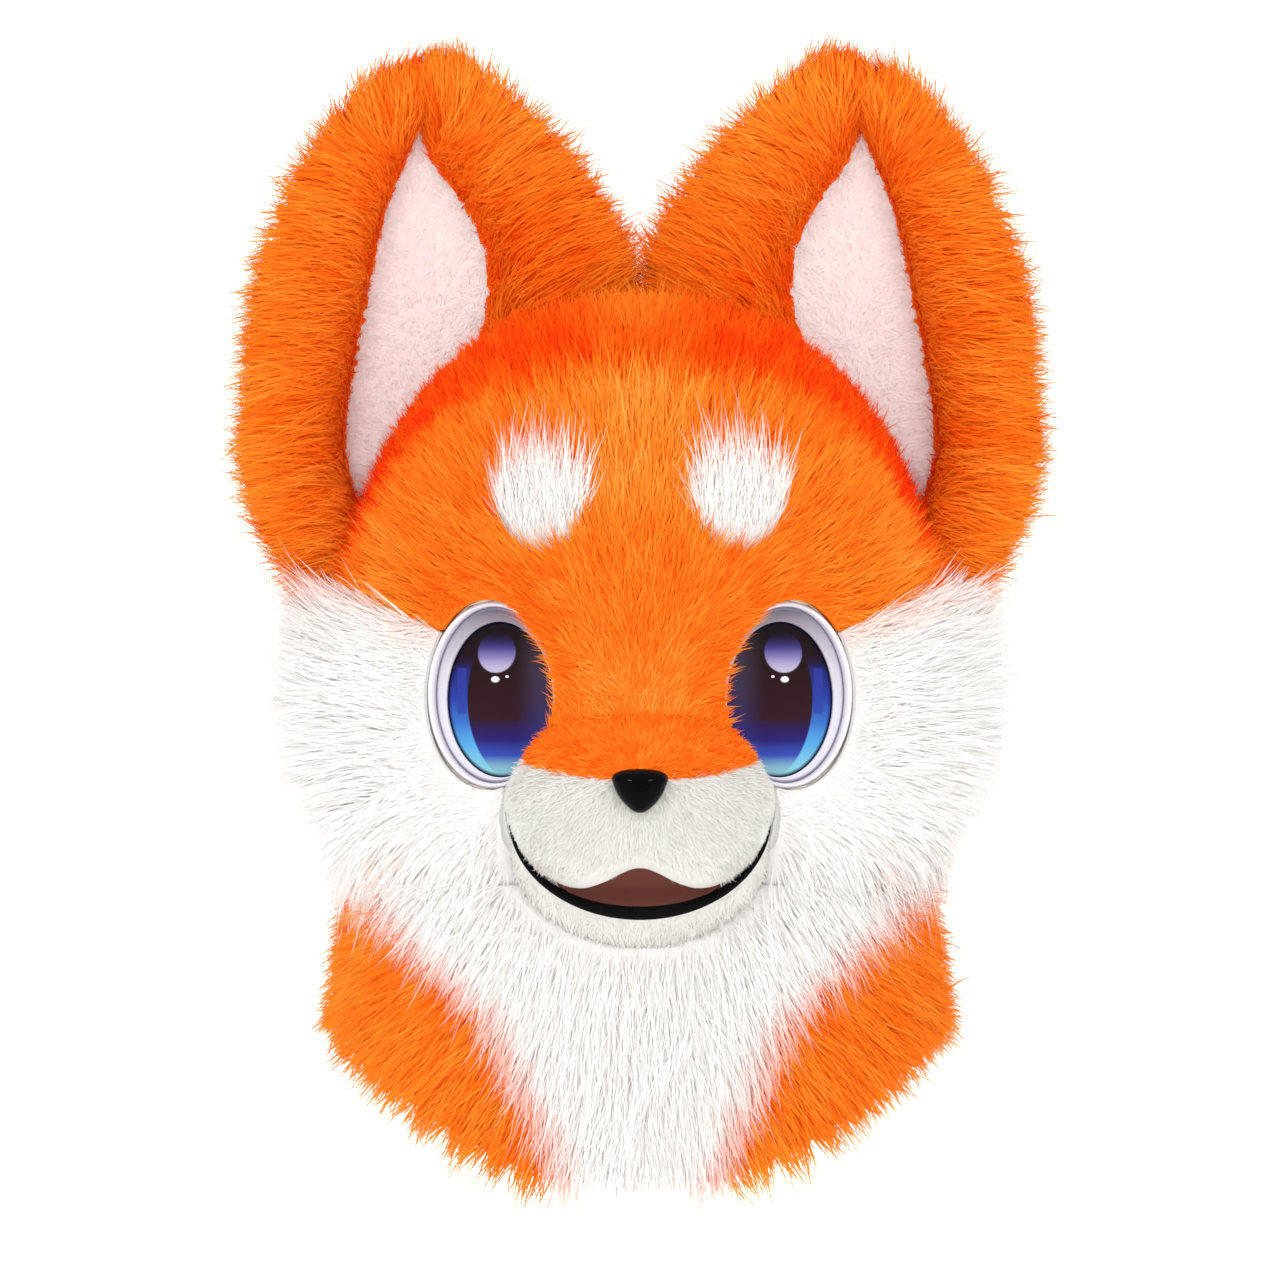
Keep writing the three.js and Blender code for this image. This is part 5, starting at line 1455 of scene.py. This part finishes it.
azimuth = np.arange(NECK_COLUMNS) * 2 * np.pi / NECK_COLUMNS
forward = np.cos(azimuth)
hem = np.stack(
    [
        NECK_HALF_WIDTH * np.sin(azimuth),
        -np.where(forward > 0, NECK_FRONT, NECK_BACK) * forward,
        NECK_SIDE_Z - np.where(forward > 0, NECK_FRONT_FALL, NECK_BACK_FALL) * forward**2,
    ],
    1,
)
rim_line = rim_outline(azimuth)
rings = []
for share in np.linspace(0, 1, NECK_ROWS):
    ring = rim_line + (hem - rim_line) * share**NECK_FLARE
    ring[:, 2] = NECK_START + (hem[:, 2] - NECK_START) * share
    rings.append(ring)
neck_points = np.concatenate(rings)
neck_quads = loft_faces(NECK_ROWS, NECK_COLUMNS)
neck_triangles = np.concatenate([neck_quads[:, [0, 1, 2]], neck_quads[:, [0, 2, 3]]])
side_a = neck_points[neck_triangles[:, 1]] - neck_points[neck_triangles[:, 0]]
side_b = neck_points[neck_triangles[:, 2]] - neck_points[neck_triangles[:, 0]]
face_normals = np.cross(side_a, side_b)
neck_normals = np.zeros_like(neck_points)
for corner in range(3):
    np.add.at(neck_normals, neck_triangles[:, corner], face_normals)
neck_normals /= np.linalg.norm(neck_normals, axis=1)[:, None]
if (neck_normals * neck_points * [1, 1, 0]).sum() < 0:
    neck_normals, neck_triangles = -neck_normals, neck_triangles[:, ::-1]
neck_rows = np.hstack([neck_points + neck_normals * SKIN_OFFSET, neck_normals])
neck_x, neck_y, neck_z = neck_points.T
BIB_Z, BIB_HALF = [225.0, 241.0, 275.0, 331.0, 361.0, 400.0], [110.0, 98.0, 63.0, 40.0, 28.0, 20.0]
bib_half = np.interp(-neck_z, BIB_Z, BIB_HALF)
in_bib = np.minimum(bib_half - np.abs(neck_x), -neck_y)
on_left, on_right = [np.minimum.reduce([-in_bib, -neck_y, side * neck_x]) for side in (-1, 1)]
table = np.hstack([neck_rows, in_bib[:, None]])
for name, node, part, tone, coat, finish, seed in (
    ("neck_bib", "neck_bib_fur", in_bib, 0.8, white_fur, "fur_white", 81),
    ("neck_side_left", "neck_side_fur_left", on_left, 0.6, orange_fur, "fur_orange", 82),
    ("neck_side_right", "neck_side_fur_right", on_right, 0.6, orange_fur, "fur_orange", 83),
    ("neck_back", "neck_back_fur", neck_y, 0.5, orange_fur, "fur_orange", 84),
):
    rows, triangles = clipped(table, neck_triangles, part)
    drop = 0.0
    if name == "neck_bib":
        drop = 1.0
        tone = tone - 0.85 * smoothstep(20, 2, rows[:, 6])
    panel = furred(
        name + "_coat",
        rows,
        triangles,
        pile=NECK_PILE * jaw_cut(rows[:, :3]),
        cover=clear_of_jaw(rows[:, :3]),
        raised=0.55 if name == "neck_bib" else 0.42,
        flow=along_skin(flow_away(rows) + drop * np.array([0.0, 0.0, -1.0]), rows[:, 3:6]),
        tone=tone,
        Density=270000.0 if name == "neck_back" else 640000.0,
        Width=0.0014 if name == "neck_back" else 0.0008,
        Rise=0.36,
        Sweep=1.1,
        Stray=0.22,
        Wave=0.5,
        Seed=seed,
        Coat=coat,
    )
    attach(panel, "root")
    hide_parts(node)

# Studio: a pale floor that curves up into a backdrop, soft lights and the camera.
# The head is held up in the air as on a wearer's crown, so the floor lies well below it.
FLOOR_Z, BACKDROP_Y = -1.2, 7.0
CAMERA_Y, VIEW_Z, VIEW_WIDTH, FACE_PLANE_Y = -5.0, -0.1204, 0.5504, -0.1
scene = bpy.context.scene
bend = np.linspace(0, np.pi / 2, 13)
sweep = [(BACKDROP_Y - 1.0 + np.sin(t), FLOOR_Z + 1.0 - np.cos(t)) for t in bend]
profile = [(-9.0, FLOOR_Z)] + sweep + [(BACKDROP_Y, 6.0)]
points = np.array([(x, y, z) for y, z in profile for x in (-8.0, 8.0)]) / MM
quads = [(2 * i, 2 * i + 1, 2 * i + 3, 2 * i + 2) for i in range(len(profile) - 1)]
floor = mesh_object("floor", points, quads)
floor_material, floor_shader = new_material("floor_white", Roughness=0.9, Specular_IOR_Level=0.1)
floor_shader.inputs["Base Color"].default_value = (0.95, 0.95, 0.95, 1.0)
floor_shader.inputs["Emission Color"].default_value = (1.0, 1.0, 1.0, 1.0)
floor_shader.inputs["Emission Strength"].default_value = 0.35
floor.data.materials.append(floor_material)

world = bpy.data.worlds.new("studio")
world.use_nodes = True
world.node_tree.nodes["Background"].inputs["Color"].default_value = (1.0, 1.0, 1.0, 1.0)
world.node_tree.nodes["Background"].inputs["Strength"].default_value = 1.15
scene.world = world
for name, place, width, height, power in (
    ("key", (-1.0, -2.6, 1.5), 0.6, 0.25, 18.0),
    ("fill", (1.0, -2.6, 1.5), 0.6, 0.25, 16.0),
):
    lamp = bpy.data.lights.new(name, "AREA")
    lamp.shape, lamp.size, lamp.size_y, lamp.energy = "RECTANGLE", width, height, power
    lamp_object = bpy.data.objects.new(name, lamp)
    lamp_object.location = place
    aim = Vector((0.0, 0.0, -0.12)) - lamp_object.location
    lamp_object.rotation_euler = aim.to_track_quat("-Z", "Y").to_euler()
    scene.collection.objects.link(lamp_object)

camera_data = bpy.data.cameras.new("camera")
camera_data.sensor_width = 36.0
camera_data.lens = 36.0 * (FACE_PLANE_Y - CAMERA_Y) / VIEW_WIDTH
camera_data.clip_end = 100.0
camera = bpy.data.objects.new("camera", camera_data)
camera.location = (0.0, CAMERA_Y, VIEW_Z)
camera.rotation_euler = (np.pi / 2, 0.0, 0.0)
scene.collection.objects.link(camera)
scene.camera = camera
scene.view_settings.view_transform = "Standard"
